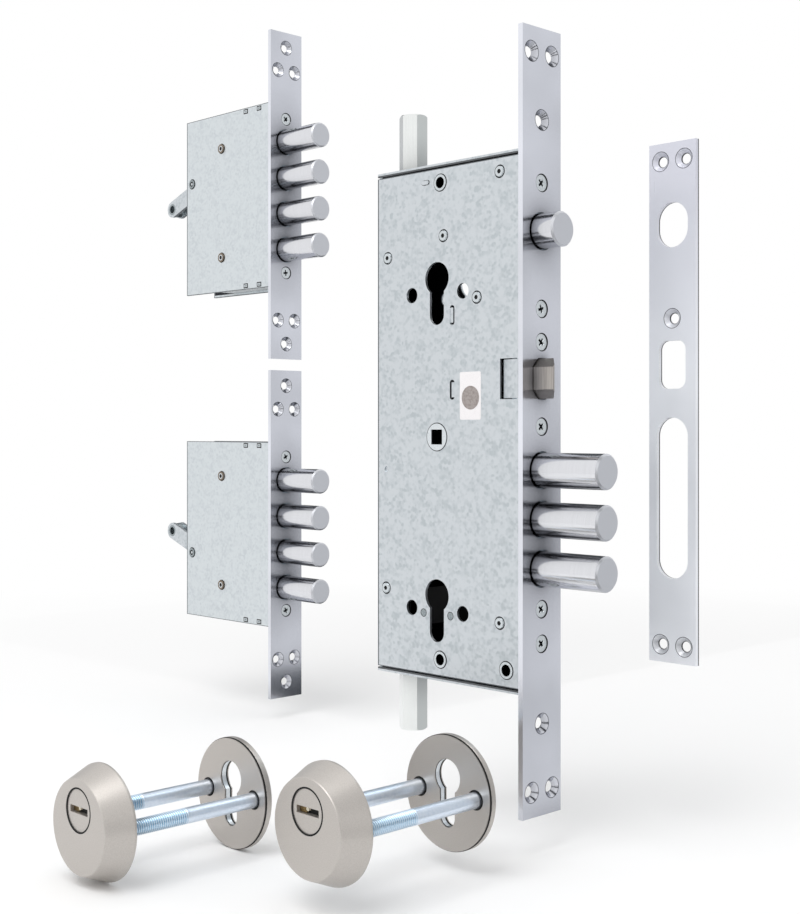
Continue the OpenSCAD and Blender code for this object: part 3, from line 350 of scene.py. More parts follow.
# %% Polished bolts with matt ends
def turned_chrome(name, side, end, side_rough, end_rough):
    """Tones and roughness round the side and on the faced end."""
    material, tree, shader, place = blank_finish(name, Metallic=1.0)
    facing = add(tree, "SeparateXYZ", {"Vector": add(tree, "TexCoord").outputs["Normal"]})
    is_end = spread_over(tree, facing.outputs["X"], 0.0, 1.0, 0.45, 0.65)
    wheel = drawn_noise(tree, place, (0.4, 25, 25))
    rings = ramp(tree, wheel, (0.36, dimmed(side, 0.985)), (0.60, side))
    # Painted shade where other parts within 22 mm close the bolt in.
    colour = paint_closed_in_shade(tree, darken(tree, rings, is_end, end), "46474C", 22)
    surface(tree, shader, colour, spread_over(tree, is_end, side_rough, end_rough),
            noise(tree, place, 0.5, 3.0), calculate(tree, "MULTIPLY", is_end, 0.3), 0.02)
    return material


bolt_chrome = turned_chrome("polished_chrome_bolt", "DFE0E4", "D3D5DA", 0.16, 0.40)
rod_steel = turned_chrome("bright_drawn_hex_steel", "F1F3F2", "D8DCDA", 0.16, 0.34)
print("polished chrome for the bolts")

# %% [markdown]
# ## Cast, pressed and plated parts
# The latch is sintered from steel powder and ground upright: a warm grey skin with lines 0.4 mm
# wide. The escutcheons are zinc castings under satin nickel, a warm grey with a pearly grain, and
# their caps are blasted first. The guides are steel under blue zinc plating, screws and bushes
# have a brighter one, and the rivets of the side cases are browned. Each could have a recipe of
# its own, but all are a base tone, a slightly darker one and a grain, so one function makes them.

# %% Grained metals
def grained_metal(name, tone, dark, rough, grain_mm, relief_mm, spread=0.08, shade_box=None, run=1):
    """A metal whose tone, gloss and height all follow one fine noise, painted black as shade inside
    the optional box. The noise is drawn out run times along Z, as a grinding wheel leaves it."""
    material, tree, shader, place = blank_finish(name, Metallic=1.0)
    drawn = add(tree, "Mapping", {"Vector": place, "Scale": (1, 1, 1 / run)}).outputs["Vector"]
    grain = noise(tree, drawn, grain_mm, 3.0)
    colour = ramp(tree, grain, (0.30, dark), (0.62, tone))
    if shade_box:
        colour = darken(tree, colour, inside_box(tree, place, *shade_box), "1A1B1E")
    surface(tree, shader, colour, spread_over(tree, grain, rough + spread, rough - spread),
            grain, 0.5, relief_mm)
    return material


latch_sinter = grained_metal("sintered_steel", "B3AEA9", "9A9591", 0.34, 0.4, 0.015, run=40)
pearl_nickel = grained_metal("satin_nickel_on_zinc", "BFBAB5", "B6B1AC", 0.40, 0.5, 0.008)
cap_nickel = blasted(
    grained_metal("satin_nickel_cap", "C1BCB7", "B8B3AE", 0.40, 0.5, 0.008), 0.7)
blue_zinc = grained_metal("blue_zinc_plating", "D3DEE9", "B9CAD8", 0.25, 1.6, 0.006, 0.04)
worn_zinc = grained_metal("worn_zinc_rivet", "A3ABAE", "7C8589", 0.34, 0.6, 0.01)
white_zinc = grained_metal("cast_white_zinc", "E2E7EA", "D2D8DC", 0.30, 0.8, 0.006)
screw_zinc = grained_metal("bright_zinc_screw", "D6DCDF", "C2C9CD", 0.28, 0.6, 0.006)
# The bushes' bores and the hub's middle are painted black as shade inside the case.
hollow_zinc = grained_metal("bright_zinc_bush", "D6DCDF", "C2C9CD", 0.28, 0.6, 0.006,
                            shade_box=((-60, 0, 0), (60, 13.8, 150)))
hub_zinc = grained_metal("zinc_plated_hub", "DEE3E6", "D0D6DA", 0.32, 0.8, 0.006,
                         shade_box=((-61, 0, -8), (4.2, 13.9, 4.2)))
browned = grained_metal("browned_steel_rivet", "8F8376", "62574D", 0.36, 0.5, 0.02)
print("grained metals made")

# %% [markdown]
# ## Nylon rod guides and dark depths
# The rod guides are moulded from black nylon: not metallic, roughness about 0.5, with the usual
# IOR of 1.53. The plates behind the key slots and the pieces in narrow gaps are a dull black that
# paints their shade, and the sliding plates inside the cases are dark steel that paints the shade
# inside the case. One flat colour would do for each, but two close tones keep a large dark face
# from looking cut out of card.

# %% Nylon, black shade and dark steel
def plain_skin(name, tone, dark, rough, ior):
    """A skin that is no metal, in two close tones 2 mm wide."""
    material, tree, shader, place = blank_finish(name, Roughness=rough, IOR=ior)
    colour = ramp(tree, noise(tree, place, 2), (0.3, dark), (0.7, tone))
    tree.links.new(colour, shader.inputs["Base Color"])
    return material


black_nylon = plain_skin("moulded_black_nylon", "2C2D30", "202124", 0.5, 1.53)
# Black that paints the shade of gaps, slots and hollows.
black_shade = plain_skin("black_shade_steel", "0F0F11", "09090A", 0.7, 1.4)
# Dark steel that paints the shade inside the cases.
shaded_steel = grained_metal("shaded_dark_steel", "55575B", "3C3E42", 0.45, 1.5, 0.01)
print("nylon, black oxide and oiled steel")

# %% [markdown]
# ## Which part wears which finish
# Every node of the model comes with a slot such as chrome or zinc, and most take the one finish of
# their slot. A few differ, such as the blasted caps of the real set and the plates inside the
# cases, whose dark steel paints the shade inside the case. Each node could be dressed in a line of
# its own, but two tables show at a glance what is made of what.

# %% Give every node its finish
finish_of = {
    "galvanised": case_zinc, "chrome": strip_chrome, "polished": bolt_chrome,
    "sintered": latch_sinter, "zinc": blue_zinc, "nickel": pearl_nickel,
    "bronze": browned, "nylon": black_nylon,
}
own_finish = {name: finish for finish, names in (
    (cover_zinc, "cover_plate"),
    (plate_chrome, "strike_plate"),
    (rod_steel, "upper_rod lower_rod"),
    (cap_nickel, "left_cap right_cap left_key_disc right_key_disc"),
    (white_zinc, "left_rose_core right_rose_core"),
    (screw_zinc, "cover_screws"),
    (hollow_zinc, "case_bushes"),
    (hub_zinc, "follower"),
    (worn_zinc, "upper_aux_pivot lower_aux_pivot upper_aux_lever_pins lower_aux_lever_pins"),
    # The plates inside the cases are dark steel as painted shade inside the case.
    (shaded_steel, "bolt_plate upper_slide lower_slide service_tail latch_tail "
                  "upper_aux_plate lower_aux_plate"),
) for name in names.split()}
for name, node in nodes.items():
    own = own_finish.get(name)
    if name.endswith(("aux_case", "aux_cover")):
        own = side_zinc[name.startswith("lower")]
    slot = node.data.materials[0].name.split(".")[0]
    node.data.materials.clear()
    node.data.materials.append(own or finish_of[slot])
print("finishes given to", len(nodes), "nodes")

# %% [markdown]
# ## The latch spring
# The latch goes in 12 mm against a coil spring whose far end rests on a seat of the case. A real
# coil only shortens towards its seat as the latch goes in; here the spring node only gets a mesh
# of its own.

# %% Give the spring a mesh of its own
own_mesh(nodes["latch_spring"])

# %% [markdown]
# ## One way to turn points into a mesh
# A turned piece is rings of points from one end to the other. The function below joins each ring
# to the next with four-sided faces, closes both ends with a fan round a middle point, and turns
# the faces over if the volume they enclose comes out negative, so they always point outwards.

# %% Rings to a closed mesh
def ring_faces(rings, around):
    """Faces of rings of points: ring i joins ring i + 1 by quads, and two middle points, numbered
    after all the rings, close the first and last ring by fans."""
    i, j = np.meshgrid(np.arange(rings - 1), np.arange(around), indexing="ij")
    a, b = i * around + j, i * around + (j + 1) % around
    quads = np.stack([a, b, b + around, a + around], -1).reshape(-1, 4)
    k = np.arange(around)
    following = (k + 1) % around
    last, middle = (rings - 1) * around, np.full(around, rings * around)
    fans = np.vstack([np.stack([middle, following, k], -1),
                      np.stack([middle + 1, last + k, last + following], -1)])
    return quads, fans


def mesh_piece(name, points, faces, material):
    """An object of the scene from (n, 3) points in metres and lists of their numbers."""
    mesh = bpy.data.meshes.new(name)
    mesh.from_pydata(np.asarray(points).tolist(), [], faces)
    mesh.materials.append(material)
    piece = bpy.data.objects.new(name, mesh)
    bpy.context.scene.collection.objects.link(piece)
    return piece


def closed_rings(name, copies, material, sharp=35):
    """One mesh from a list of (rings, around, 3) arrays in mm, each closed at both ends."""
    points, faces, start = [], [], 0
    for rings in copies:
        middles = np.stack([rings[0].mean(0), rings[-1].mean(0)])
        cloud = np.vstack([rings.reshape(-1, 3), middles])
        quads, fans = ring_faces(rings.shape[0], rings.shape[1])
        p, q, r, s = (cloud[quads[:, c]] for c in range(4))
        f, g, h = (cloud[fans[:, c]] for c in range(3))
        volume = ((np.cross(p, q) * r).sum() + (np.cross(p, r) * s).sum()
                  + (np.cross(f, g) * h).sum())
        turn = 1 if volume > 0 else -1
        faces += (quads[:, ::turn] + start).tolist() + (fans[:, ::turn] + start).tolist()
        points.append(cloud)
        start += len(cloud)
    piece = mesh_piece(name, np.vstack(points) * MM, faces, material)
    mesh = piece.data
    mesh.polygons.foreach_set("use_smooth", np.ones(len(mesh.polygons), bool))
    mesh.set_sharp_from_angle(angle=math.radians(sharp))
    print(f"{name}: {len(mesh.polygons)} faces")
    return piece

# %% [markdown]
# ## Cross-recess screws in the forends
# The forend screws are countersunk machine screws with a cross recess, their heads just below the
# strip's face. The recess could be cut with a Boolean, but a height worked out over the face is
# cleaner: the depth at a point is that of the deeper of two wings, each 1.1 mm wide, deepest in
# the middle and rising to nothing 2.3 mm out, with soft edges. Below 0.4 mm from the head's face
# the recess is painted dark as shade: that is the shade box of its finish.

# %% Forend screws
def cross_depth(y, z, turn):
    """Depth of the recess at (y, z) mm: the greater of two wings. A wing's depth falls along its
    length as the 0.6th power of the length that is left, and by a smooth step across it."""
    reach, half_width, soft, deepest = 2.3, 0.55, 0.18, 1.9
    c, s = math.cos(turn), math.sin(turn)
    u, v = y * c + z * s, -y * s + z * c

    def wing(along, across):
        edge = np.clip((half_width + soft - np.abs(across)) / (2 * soft), 0, 1)
        fall = np.clip((reach - np.abs(along)) / reach, 0, 1) ** 0.6
        return deepest * fall * edge * edge * (3 - 2 * edge)

    return np.maximum(wing(u, v), wing(v, u))


def screw_rings(x, y, z, turn, around=72):
    """Rings of one screw, axis along X: the face from the middle out with the recess sunk in it,
    the rim, the cone to the shank, the shank and its end."""
    face_rings, sunk_by = 34, 0.46
    face = np.linspace(0.12, 4.15, face_rings)
    out_r = np.concatenate([face, [4.28, 4.33, 2.0, 2.0, 1.6]])
    out_x = np.concatenate([np.zeros(face_rings), [-0.04, -0.12, -2.4, -10.6, -10.95]])
    angle = np.linspace(0, 2 * math.pi, around, endpoint=False)
    py = out_r[:, None] * np.cos(angle)
    pz = out_r[:, None] * np.sin(angle)
    px = np.repeat(out_x[:, None], around, 1)
    px[:face_rings] -= cross_depth(py[:face_rings], pz[:face_rings], turn)
    return np.stack([px + x - sunk_by, py + y, pz + z], -1)


main_screws = [(0, 0, z) for z in (122.3, 57.8, 40.8, -2.5, -96.0, -113.7)]
side_screws = [(SIDE_X, SIDE_Y, mid + s * 58) for _, mid, _ in SIDE_LOCKS for s in (1, -1)]
main_turns, side_turns = (0.75, 0.25, 0.95, 0.8, 0.9, 0.7), (0.8, 0.15, 0.5, 0.35)
for set_name, where, places, turns, stands_for in (
        ("forend_screw_set", "main", main_screws, main_turns, "forend_screws"),
        ("side_forend_screw_set", "side", side_screws, side_turns, "aux_screws")):
    face_x, face_y, _ = places[0]
    # The recess is painted dark as shade below 0.4 mm from the head's face.
    finish = grained_metal(f"{where}_cross_recess_screw", "E3E8EA", "CED5D8", 0.34, 0.6, 0.006,
                           shade_box=((face_x - 6.2, face_y, 0), (5.34, 16, 260)))
    screws = closed_rings(set_name, [screw_rings(*at, turn) for at, turn in zip(places, turns)],
                          finish, sharp=50)
    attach(screws, "housing")
    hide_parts(stands_for)

# %% [markdown]
# ## Escutcheon bolts with a real thread
# Each escutcheon pulls together on two M8 studs, rolled thread for the 41 mm nearest the cap and
# plain shank beyond. A screw modifier could sweep the thread, but a tube whose radius follows the
# angle plus the height is one closed surface: r = 3.95 mm less up to 0.65 mm, by a cosine wave
# that repeats every 1.25 mm and once a turn. The washer head sits in the rose.
# The thread's roots are painted darker as shade: each point also keeps how deep it lies, as an
# attribute named groove, and the finish turns darker with it.

# %% Threaded studs
def stud_rings(at, side, around=40):
    """Rings along Y: radius = crest - depth * wave(y / pitch + angle / turn) on the thread.
    Returns the points and, for each, how deep it lies in the thread, from 0 to 1."""
    x0, y0, z0 = at
    pitch, crest, depth = 1.25, 3.95, 0.65
    y_thread = np.arange(-82.4, -41.5, pitch / 7)
    angle = np.linspace(0, 2 * math.pi, around, endpoint=False)
    phase = (y_thread[:, None] / pitch + angle / (2 * math.pi)) % 1
    wave = 0.5 - 0.5 * np.cos(2 * math.pi * phase)
    fade = np.clip((-41.8 - y_thread) / 2.5, 0, 1)[:, None]
    r_thread = crest - depth * wave * fade
    y_rest = np.array([-41.2, -20.0, 1.9, 2.15, 2.2, 2.25, 3.75, 3.88])
    r_rest = np.array([3.95, 3.95, 3.95, 3.95, 6.0, 6.2, 6.2, 6.0])
    r_all = np.vstack([r_thread, np.repeat(r_rest[:, None], around, 1)])
    y_all = np.concatenate([y_thread, y_rest])[:, None] + 0 * angle
    x_all = x0 + side * STUD_SIDE + r_all * np.cos(angle)
    points = np.stack([x_all, y0 + y_all, z0 + r_all * np.sin(angle)], -1)
    shaft = np.zeros(around * len(y_rest) + 2)
    return points, np.concatenate([(wave * fade).ravel(), shaft])


thread_zinc = grained_metal("rolled_thread_zinc", "DEE8F4", "D5E1EF", 0.32, 1.6, 0.001, 0.02)
tree = thread_zinc.node_tree
groove = add(tree, "Attribute", attribute_name="groove")
tint = tree.nodes["Principled BSDF"].inputs["Base Color"]
# Painted shade in the thread's roots.
shaded = darken(tree, tint.links[0].from_socket, groove.outputs["Fac"], "82B2CE")
tree.links.new(shaded, tint)
turned = [stud_rings(at, side) for at in ROSES.values() for side in (-1, 1)]
studs = closed_rings("escutcheon_studs", [points for points, _ in turned], thread_zinc, sharp=60)
depth_in_thread = studs.data.attributes.new("groove", "FLOAT", "POINT")
depth_in_thread.data.foreach_set("value", np.concatenate([depths for _, depths in turned]))
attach(studs, "housing")
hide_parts("rose_bolts")

# %% [markdown]
# ## Flat slabs and hoops
# The smallest pieces are of two kinds: a flat slab with a rounded outline, and a hoop, which is a
# four-cornered section carried round a circle. Both could be cut from solids, but as rings of
# points they have few faces and exact edges.

# %% Slabs and hoops
def outline(cx, cz, half_w, half_h, power, around=96):
    """Superellipse |x/a|^n + |z/b|^n = 1, as x and z arrays."""
    t = np.linspace(0, 2 * math.pi, around, endpoint=False)
    c, s = np.cos(t), np.sin(t)
    x = cx + half_w * np.sign(c) * np.abs(c) ** (2 / power)
    z = cz + half_h * np.sign(s) * np.abs(s) ** (2 / power)
    return x, z


def flat_slab(shape, low_y, high_y):
    """Rings of a flat slab facing -Y: the outline at its back and at its front."""
    x, z = shape
    return np.stack([np.stack([x, np.full_like(x, y), z], -1) for y in (low_y, high_y)])


def square(r0, r1, d0, d1):
    """The four corners (radius, depth) of a square section."""
    return [(r0, d0), (r1, d0), (r1, d1), (r0, d1)]


def hoop_rings(axis, middle, corners, around=64):
    """Four corners (radius, depth) carried round a circle whose axis is X or Y: across the axis
    the points are (r cos t, r sin t), along it they lie at the corner's depth."""
    t = np.linspace(0, 2 * math.pi, around, endpoint=False)
    r, depth = (np.array(column)[:, None] + 0 * t for column in zip(*corners))
    u, v = r * np.cos(t), r * np.sin(t)
    return np.stack([u, depth, v] if axis == "y" else [depth, u, v], -1) + middle


def loops(name, rounds, material):
    """One mesh of closed loops. Each is four rings of points, (4, around, 3): every ring joins the
    next by quads and the fourth joins the first, turned to enclose a positive volume."""
    points, faces, start = [], [], 0
    for rings in rounds:
        around = rings.shape[1]
        i, j = np.meshgrid(np.arange(4), np.arange(around), indexing="ij")
        k, m = (j + 1) % around, (i + 1) % 4
        quads = np.stack([i * around + j, i * around + k, m * around + k, m * around + j], -1)
        quads = quads.reshape(-1, 4)
        cloud = rings.reshape(-1, 3)
        p, q, r, s = (cloud[quads[:, c]] - cloud.mean(0) for c in range(4))
        turn = 1 if (np.cross(p, q) * r).sum() + (np.cross(p, r) * s).sum() > 0 else -1
        faces += (quads[:, ::turn] + start).tolist()
        points.append(cloud)
        start += len(cloud)
    print(f"{name}: {len(rounds)} loops")
    return mesh_piece(name, np.vstack(points) * MM, faces, material)


print("slabs and hoops ready")

# %% [markdown]
# ## Shadow ring and slot shade of the escutcheons
# The turning disc sits in the cap's mouth with a half-millimetre gap that looks black, and behind
# its key slot a brass plug and a cream pin show against the dark. The ring is a square section
# carried round a circle, with a thin lip of the same shadow at its mouth. The dark behind the slot
# is painted shade, a black plate; the plate and plug are flat slabs with rounded outlines.

# %% Shadow rings, slot shades and plugs
brass = grained_metal("brass_key_plug", "8A7650", "5C4C33", 0.35, 0.6, 0.01)
cream = plain_skin("cream_plug_pin", "EDE8D6", "DDD6C0", 0.4, 1.5)
gap, lip = square(10.33, 10.77, -90.35, -86.5), square(10.1, 10.95, -90.53, -90.47)
for where, (x, y, rose_z) in ROSES.items():
    z = rose_z + KEY_ABOVE
    mouth = [hoop_rings("y", (x, y, z), section) for section in (gap, lip)]
    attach(loops(f"{where}_shadow_ring", mouth, black_shade), "housing")
    # The slot shade is a black plate of painted shade behind the key slot.
    for part, shape, front, finish in (
            ("shutter", outline(x, z, 7.5, 1.62, 12), (86.5, 87.2), black_shade),
            ("key_plug", outline(x - 4.9, z, 2.5, 1.5, 8), (87.1, 88.2), brass),
            ("plug_pin", outline(x - 1.9, z + 0.3, 0.9, 0.8, 3), (87.1, 88.4), cream)):
        rings = flat_slab(shape, y - front[0], y - front[1])
        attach(closed_rings(f"{where}_{part}", [rings], finish), f"{where}_key_disc")

# %% [markdown]
# ## Painted shade where parts meet
# A screw head, a riveted bush and a press-fitted pillar never sit quite flush, and the gap round
# each lies in shade that a camera sees as a thin dark outline. That shade could be painted into the
# sheet's finish, but thin black hoops stay right from any side. Each fills the gap round its part
# or lies 0.03 mm proud of the sheet. The seam of a rose and the gaps round its bolts get the same
# painted shade, and so do the two parting lines inside its key opening.

# %% Shapes of the outlines
def key_opening(grow, y, around=120):
    """A ring of points round the opening of a profile cylinder, seen from its circle's middle: at
    each angle the greater of the circle's radius and the way to the slot's wall or round end."""
    radius, half, end = 8.75 + grow, 5.25 + grow, 19.7
    a = np.linspace(-math.pi, math.pi, around, endpoint=False)
    down, across = np.cos(a), np.abs(np.sin(a)) + 1e-9
    to_wall = half / across
    to_end = end * down + np.sqrt(np.maximum(half ** 2 - (end * across) ** 2, 0))
    slot = np.where(down > 0, np.where(to_wall * down < end, to_wall, to_end), 0)
    reach = np.maximum(radius, slot)
    return np.stack([reach * np.sin(a), np.full(around, y), KEY_ABOVE - reach * np.cos(a)], -1)


def slabs(places, half_w, half_h, power, low_y, high_y, around=32):
    """The same flat slab at several (x, z) places."""
    return [flat_slab(outline(x, z, half_w, half_h, power, around), low_y, high_y)
            for x, z in places]


print("key opening:", len(key_opening(0, 0)), "points round")

# %% [markdown]
# ## Where the outlines lie
# Screws, bushes, rivets and tabs stand where the lock's maker put them, so these places are typed
# in from the model's drawing. The two side locks are the same, the lower one upside down, so a
# loop over both gives theirs.

# %% Places on the covers
cover_screws_at = [
    (-16, 128.5), (-56.2, 99.4), (-99, 91), (-32, 65), (-100.2, -91.9), (-16, -103.3)]
bushes_at = [(-58.5, 128), (-58.5, -127), (-11.5, -127)]
hub_at, stop_at = [(-61, -8)], [(-69.5, 129.2)]  # the follower's hub and the pressed stop
pips_at = [(-71, -103), (-51, -103)]
shade_sheets_at = [(-73, -100), (-49.2, -100)]
rivets_at = [(-418.3, mid + s * 42.4) for _, mid, _ in SIDE_LOCKS for s in (1, -1)]
pivots_at = [(-457, mid + way * 19.5) for _, mid, way in SIDE_LOCKS]
tabs_at = [(x, mid + s * 66.55)
           for _, mid, _ in SIDE_LOCKS for s in (1, -1) for x in (-387.8, -371.6)]
print(len(cover_screws_at + bushes_at + rivets_at + pivots_at + tabs_at), "places on the covers")

# %% [markdown]
# ## Hoops round screws, bushes and rivets
# All the hoops are one mesh, because they are one finish and none of them moves. They could be
# one for each screw, but a line of painted shade is no part that comes off a lock.

# %% Hoops
# Every hoop here is black painted shade: in gaps round screws, bushes, hub, pips and forend screws,
# in sockets, round and in rivets and pivots, in a rose's seam, stud holes and key opening.
# A face, the (x, z) places on it, and the radii and depths of the hoop round each
proud = (-0.03, 0.01)
seats = [(COVER_FACE, cover_screws_at, square(3.07, 3.48, 0.04, 0.28)),
         (COVER_FACE, cover_screws_at, square(0.3, 1.1, -0.3, 0.09)),
         (COVER_FACE, bushes_at, square(4.37, 4.85, *proud)),
         (COVER_FACE, hub_at, square(7.27, 7.7, *proud)),
         (COVER_FACE, pips_at, square(1.93, 2.25, *proud)),
         (SIDE_FACE, rivets_at, square(3.57, 4.0, *proud)),
         (SIDE_FACE, rivets_at, square(0.5, 1.47, -0.7, -0.52)),
         (SIDE_FACE, pivots_at, square(3.52, 4.1, *proud)),
         (SIDE_FACE, pivots_at, square(1.1, 1.97, -0.1, 0.38))]
rounds = [hoop_rings("y", (x, face, z), section) for face, places, section in seats
          for x, z in places]
sunk = [(4.32, -0.46), (4.77, -0.01), (4.66, 0.0), (4.30, -0.36)]
rounds += [hoop_rings("x", at, sunk) for at in main_screws + side_screws]
for x, y, z in ROSES.values():
    rounds.append(hoop_rings("y", (x, y, z), square(25.4, 28.68, 0.45, 1.3)))
    rounds += [hoop_rings("y", (x + s * STUD_SIDE, y, z), square(3.98, 4.95, -0.04, 0.4))
               for s in (-1, 1)]
    for depths in ((0.72, 1.0), (3.7, 4.45)):
        band = [key_opening(grow, depth) + (x, y, z) for grow, depth in square(-0.13, 0.1, *depths)]
        rounds.append(np.stack(band))
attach(loops("painted_gap_shade", rounds, black_shade), "housing")

# %% [markdown]
# ## Edges of the countersinks
# A thin dark edge shows round each countersink. It could be a mark in the plating's colour, but
# a hoop in the corner itself is as sharp as the real edge.

# %% Countersinks of the forends and the strike plate
end_holes = {"main": ((0, 154.5), (8, 188.5), (-8, 188.5)),
             "side": ((0, 111.75), (8, 94.05), (-8, 94.05))}
forend_sinks = [(0, y, s * z) for s in (1, -1) for y, z in end_holes["main"]]
forend_sinks += [(SIDE_X, SIDE_Y + y, mid + s * z)
                 for _, mid, _ in SIDE_LOCKS for s in (1, -1) for y, z in end_holes["side"]]
strike_sinks = [(STRIKE_X + x, STRIKE_FACE, z) for x, z in
                ((7.5, 141.4), (-7.5, 141.4), (0, 56), (7.5, -120.6), (-7.5, -120.6))]
sink_rim = square(5.2, 5.5, -0.02, 0.02)
sinks = [hoop_rings("x", at, sink_rim) for at in forend_sinks]
sinks += [hoop_rings("y", at, sink_rim) for at in strike_sinks]
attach(loops("countersink_edges", sinks, shaded_steel), "housing")

# %% [markdown]
# ## Tabs, rivets and shade sheets
# The tabs of the side cases come through punched slots a little wider than they are, and where
# they were sheared the steel is bare; the gaps round them and round the pressed stop are black
# slabs of painted shade. Rivets, pivots and pips are bright where a hammer upset them. Two black
# sheets in the main case, one to each side of the lower cylinder, paint the shade inside it. Each
# of these could be part of the sheet, but its own piece has its own finish.

# %% Tabs, upset ends and shade sheets
# Black slabs of painted shade in the tab slots and round the pressed stop.
tab_gap_shades = slabs(tabs_at, 2.65, 1.8, 18, SIDE_FACE - 0.04, SIDE_FACE + 1.4, 48)
tab_gap_shades += slabs(stop_at, 2.95, 1.42, 3, COVER_FACE - 0.03, COVER_FACE + 0.01, 48)
tab_ends = slabs(tabs_at, 1.25, 0.55, 6, SIDE_FACE - 0.23, SIDE_FACE - 0.15)
pips = slabs(pips_at, 1.9, 1.9, 2, COVER_FACE - 0.03, COVER_FACE + 0.3)
pivot_middles = slabs(pivots_at, 1.0, 1.0, 2, SIDE_FACE - 0.3, SIDE_FACE + 0.45)
# Black sheets of painted shade inside the case beside the lower cylinder.
shade_sheets = slabs(shade_sheets_at, 0.4, 10, 40, -12.9, 12.9)
rivet_faces = [hoop_rings("y", (x, SIDE_FACE, z), square(1.52, 2.2, -0.93, -0.85))
               for x, z in rivets_at]
for piece in (
        closed_rings("tab_gap_shade_slabs", tab_gap_shades, black_shade),
        closed_rings("sheared_tab_ends", tab_ends, worn_zinc),
        loops("upset_rivet_rings", rivet_faces, white_zinc),
        closed_rings("peened_pips", pips, worn_zinc),
        closed_rings("cylinder_shade_sheets", shade_sheets, black_shade),
        closed_rings("upset_pivot_middles", pivot_middles, white_zinc)):
    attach(piece, "housing")

# %% [markdown]
# ## The paper label
# A small white label is stuck on the cover beside the latch, with a grey foil spot on it. Real
# paper is about 0.1 mm thick with slightly rounded corners. It could be a colour on the sheet,
# but one outline, a superellipse, at two heights gives it its own edge and shadow.

# %% Label and foil spot
paper, tree, shader, place = blank_finish("white_label_paper", Roughness=0.6)
fibre = ramp(tree, noise(tree, place, 0.4, 3.0), (0.3, "E4E1E2"), (0.7, "ECE9EA"))
tree.links.new(fibre, shader.inputs["Base Color"])
foil = grained_metal("grey_foil_spot", "ADA5A2", "968E8B", 0.4, 1.2, 0.01)
sticker = flat_slab(outline(-36.5, 13.75, 7.5, 12.55, 24), COVER_FACE, COVER_FACE - 0.12)
disc = flat_slab(outline(-36.4, 12.7, 6.2, 6.2, 2), COVER_FACE - 0.11, COVER_FACE - 0.16)
for name, slab, finish in (("paper_label", sticker, paper), ("foil_spot", disc, foil)):
    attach(closed_rings(name, [slab], finish), "housing")

# %% [markdown]
# ## Studio
# Bright metal shows the room more than itself. The world is white wherever the camera or a mirror
# looks, a little duller for the soft light it casts. A picture of a real studio could stand in
# for it, but plain white keeps every tone as it is written.

# %% White world
world = bpy.data.worlds.new("white_tent")
bpy.context.scene.world = world
world.use_nodes = True
tree = world.node_tree
rays = add(tree, "LightPath").outputs
seen = calculate(tree, "MAXIMUM", rays["Is Camera Ray"], rays["Is Glossy Ray"])
seen = calculate(tree, "MAXIMUM", seen, rays["Is Transmission Ray"])
glow = tree.nodes["Background"]
glow.inputs["Color"].default_value = (1, 1, 1, 1)
tree.links.new(spread_over(tree, seen, 0.88, 1.0), glow.inputs["Strength"])
print("world:", world.name)

# %% [markdown]
# ## Cards
# In a white tent bright metal has nothing to show, so a photographer stands cards round it. Here
# only reflections see them: grey ones that the forends mirror, and dark ones, high, low and
# behind, that give the round bolts their dark edges.

# %% Cards for the reflections
def lying(x0, x1, y0, y1, z):
    """Corners of a level rectangle, in metres."""
    return [(x0, y0, z), (x1, y0, z), (x1, y1, z), (x0, y1, z)]


def upright(a, b, z0, z1):
    """Corners of an upright rectangle from (x, y) a to (x, y) b, in metres."""
    return [(*a, z0), (*b, z0), (*b, z1), (*a, z1)]


def card(name, grey, corners):
    """A flat four-cornered card that only reflections see."""
    material = bpy.data.materials.new(name)
    material.use_nodes = True
    tree = material.node_tree
    tree.nodes.remove(tree.nodes["Principled BSDF"])
    dim = add(tree, "Emission", {"Color": linear(grey), "Strength": 1.0})
    tree.links.new(dim.outputs["Emission"], tree.nodes["Material Output"].inputs["Surface"])
    piece = mesh_piece(name, corners, [(0, 1, 2, 3)], material)
    piece.visible_camera = piece.visible_diffuse = piece.visible_shadow = False


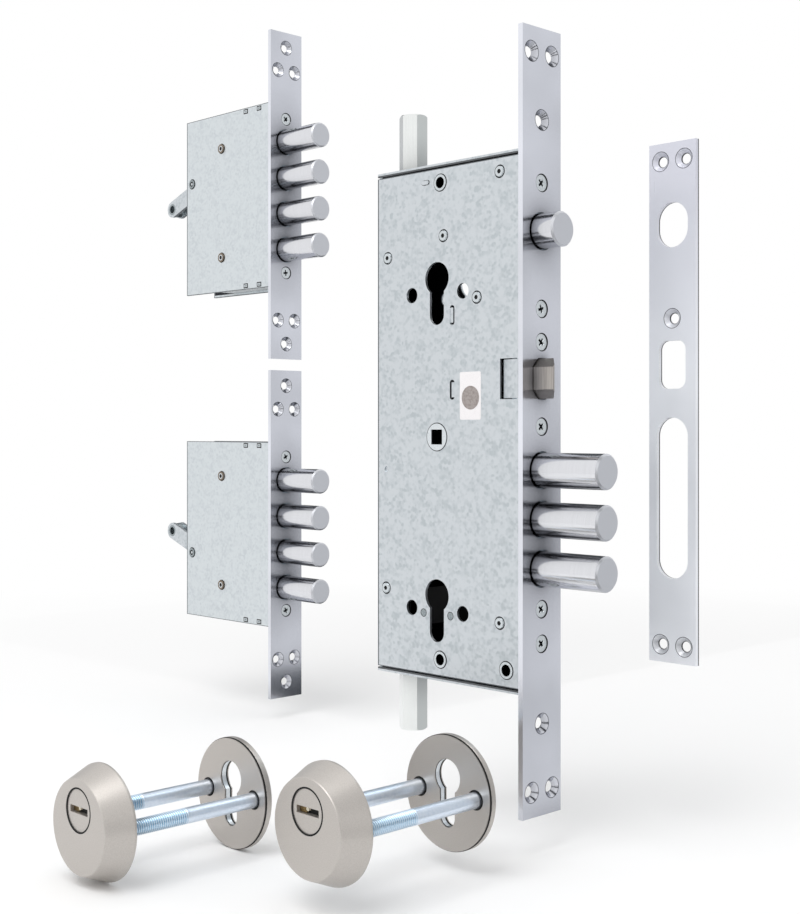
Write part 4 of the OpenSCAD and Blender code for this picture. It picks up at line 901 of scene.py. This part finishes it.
floor_z = cad_box[0][2]
level = floor_z + 0.002
black, dull = "3A3C40", "505357"
card("low_card", black, lying(0.10, 0.34, -0.07, 0.03, level))
card("front_floor_card", black, lying(0.22, 0.55, -0.48, -0.12, level))
card("front_card", black, upright((0.42, -1.0), (1.02, -0.4), level, -0.06))
card("high_card", black,
     [(0.45, -0.15, 1.25), (0.45, 0.35, 1.25), (1.35, 0.35, 0.55), (1.35, -0.15, 0.55)])
card("back_floor_card", dull, lying(-1.0, -0.2, 0.16, 1.0, level + 0.001))
card("back_card", dull, upright((-1.6, 0.75), (-1.6, 2.3), 0.25, 1.9))
card("side_card", "DCDDDF", upright((0.6, 2.6), (2.8, 0.4), -0.2, 1.8))
card("side_sweep", "D6D7D9", lying(-0.3, 2.9, 0.035, 2.7, level))
card("left_card", "C9CACC", upright((-1.6, 0.1), (-1.6, 0.9), -0.2, 0.7))
print("cards from", round(level / MM, 1), "mm up")

# %% [markdown]
# ## Lamp and floor
# A single large lamp gives the floor a soft shadow. The floor is pale paint that fades to the
# white of the background away from the set; a curved backdrop would do the same, but it would
# show in the metal.

# %% Lamp and floor
lamp = bpy.data.lights.new("soft_box", "AREA")
lamp.shape, lamp.size, lamp.size_y, lamp.energy = "RECTANGLE", 1.2, 1.2, 14
lamp_object = bpy.data.objects.new("soft_box", lamp)
lamp_object.location = (0.1, -1.0, 1.5)
lamp_object.rotation_euler = (math.radians(35), 0, math.radians(5))
bpy.context.scene.collection.objects.link(lamp_object)

pale, tree, shader, place = blank_finish("pale_floor_paint", Roughness=0.9)
shader.inputs["Base Color"].default_value = linear("F6F6F6")
white = add(tree, "Emission", {"Color": (1, 1, 1, 1), "Strength": 1.0})
reach = add(tree, "VectorMath", {0: place}, operation="LENGTH").outputs["Value"]
far = spread_over(tree, reach, 0.0, 1.0, 0.45, 1.3)
blend = add(tree, "MixShader", {0: far, 1: shader.outputs["BSDF"], 2: white.outputs["Emission"]})
tree.links.new(blend.outputs["Shader"], tree.nodes["Material Output"].inputs["Surface"])
edge = 12.0
floor = mesh_piece("pale_floor", lying(-edge, edge, -edge, edge, floor_z), [(0, 1, 2, 3)], pale)
bpy.context.scene.view_settings.view_transform = "Standard"
print("floor at", round(floor_z / MM, 1), "mm")
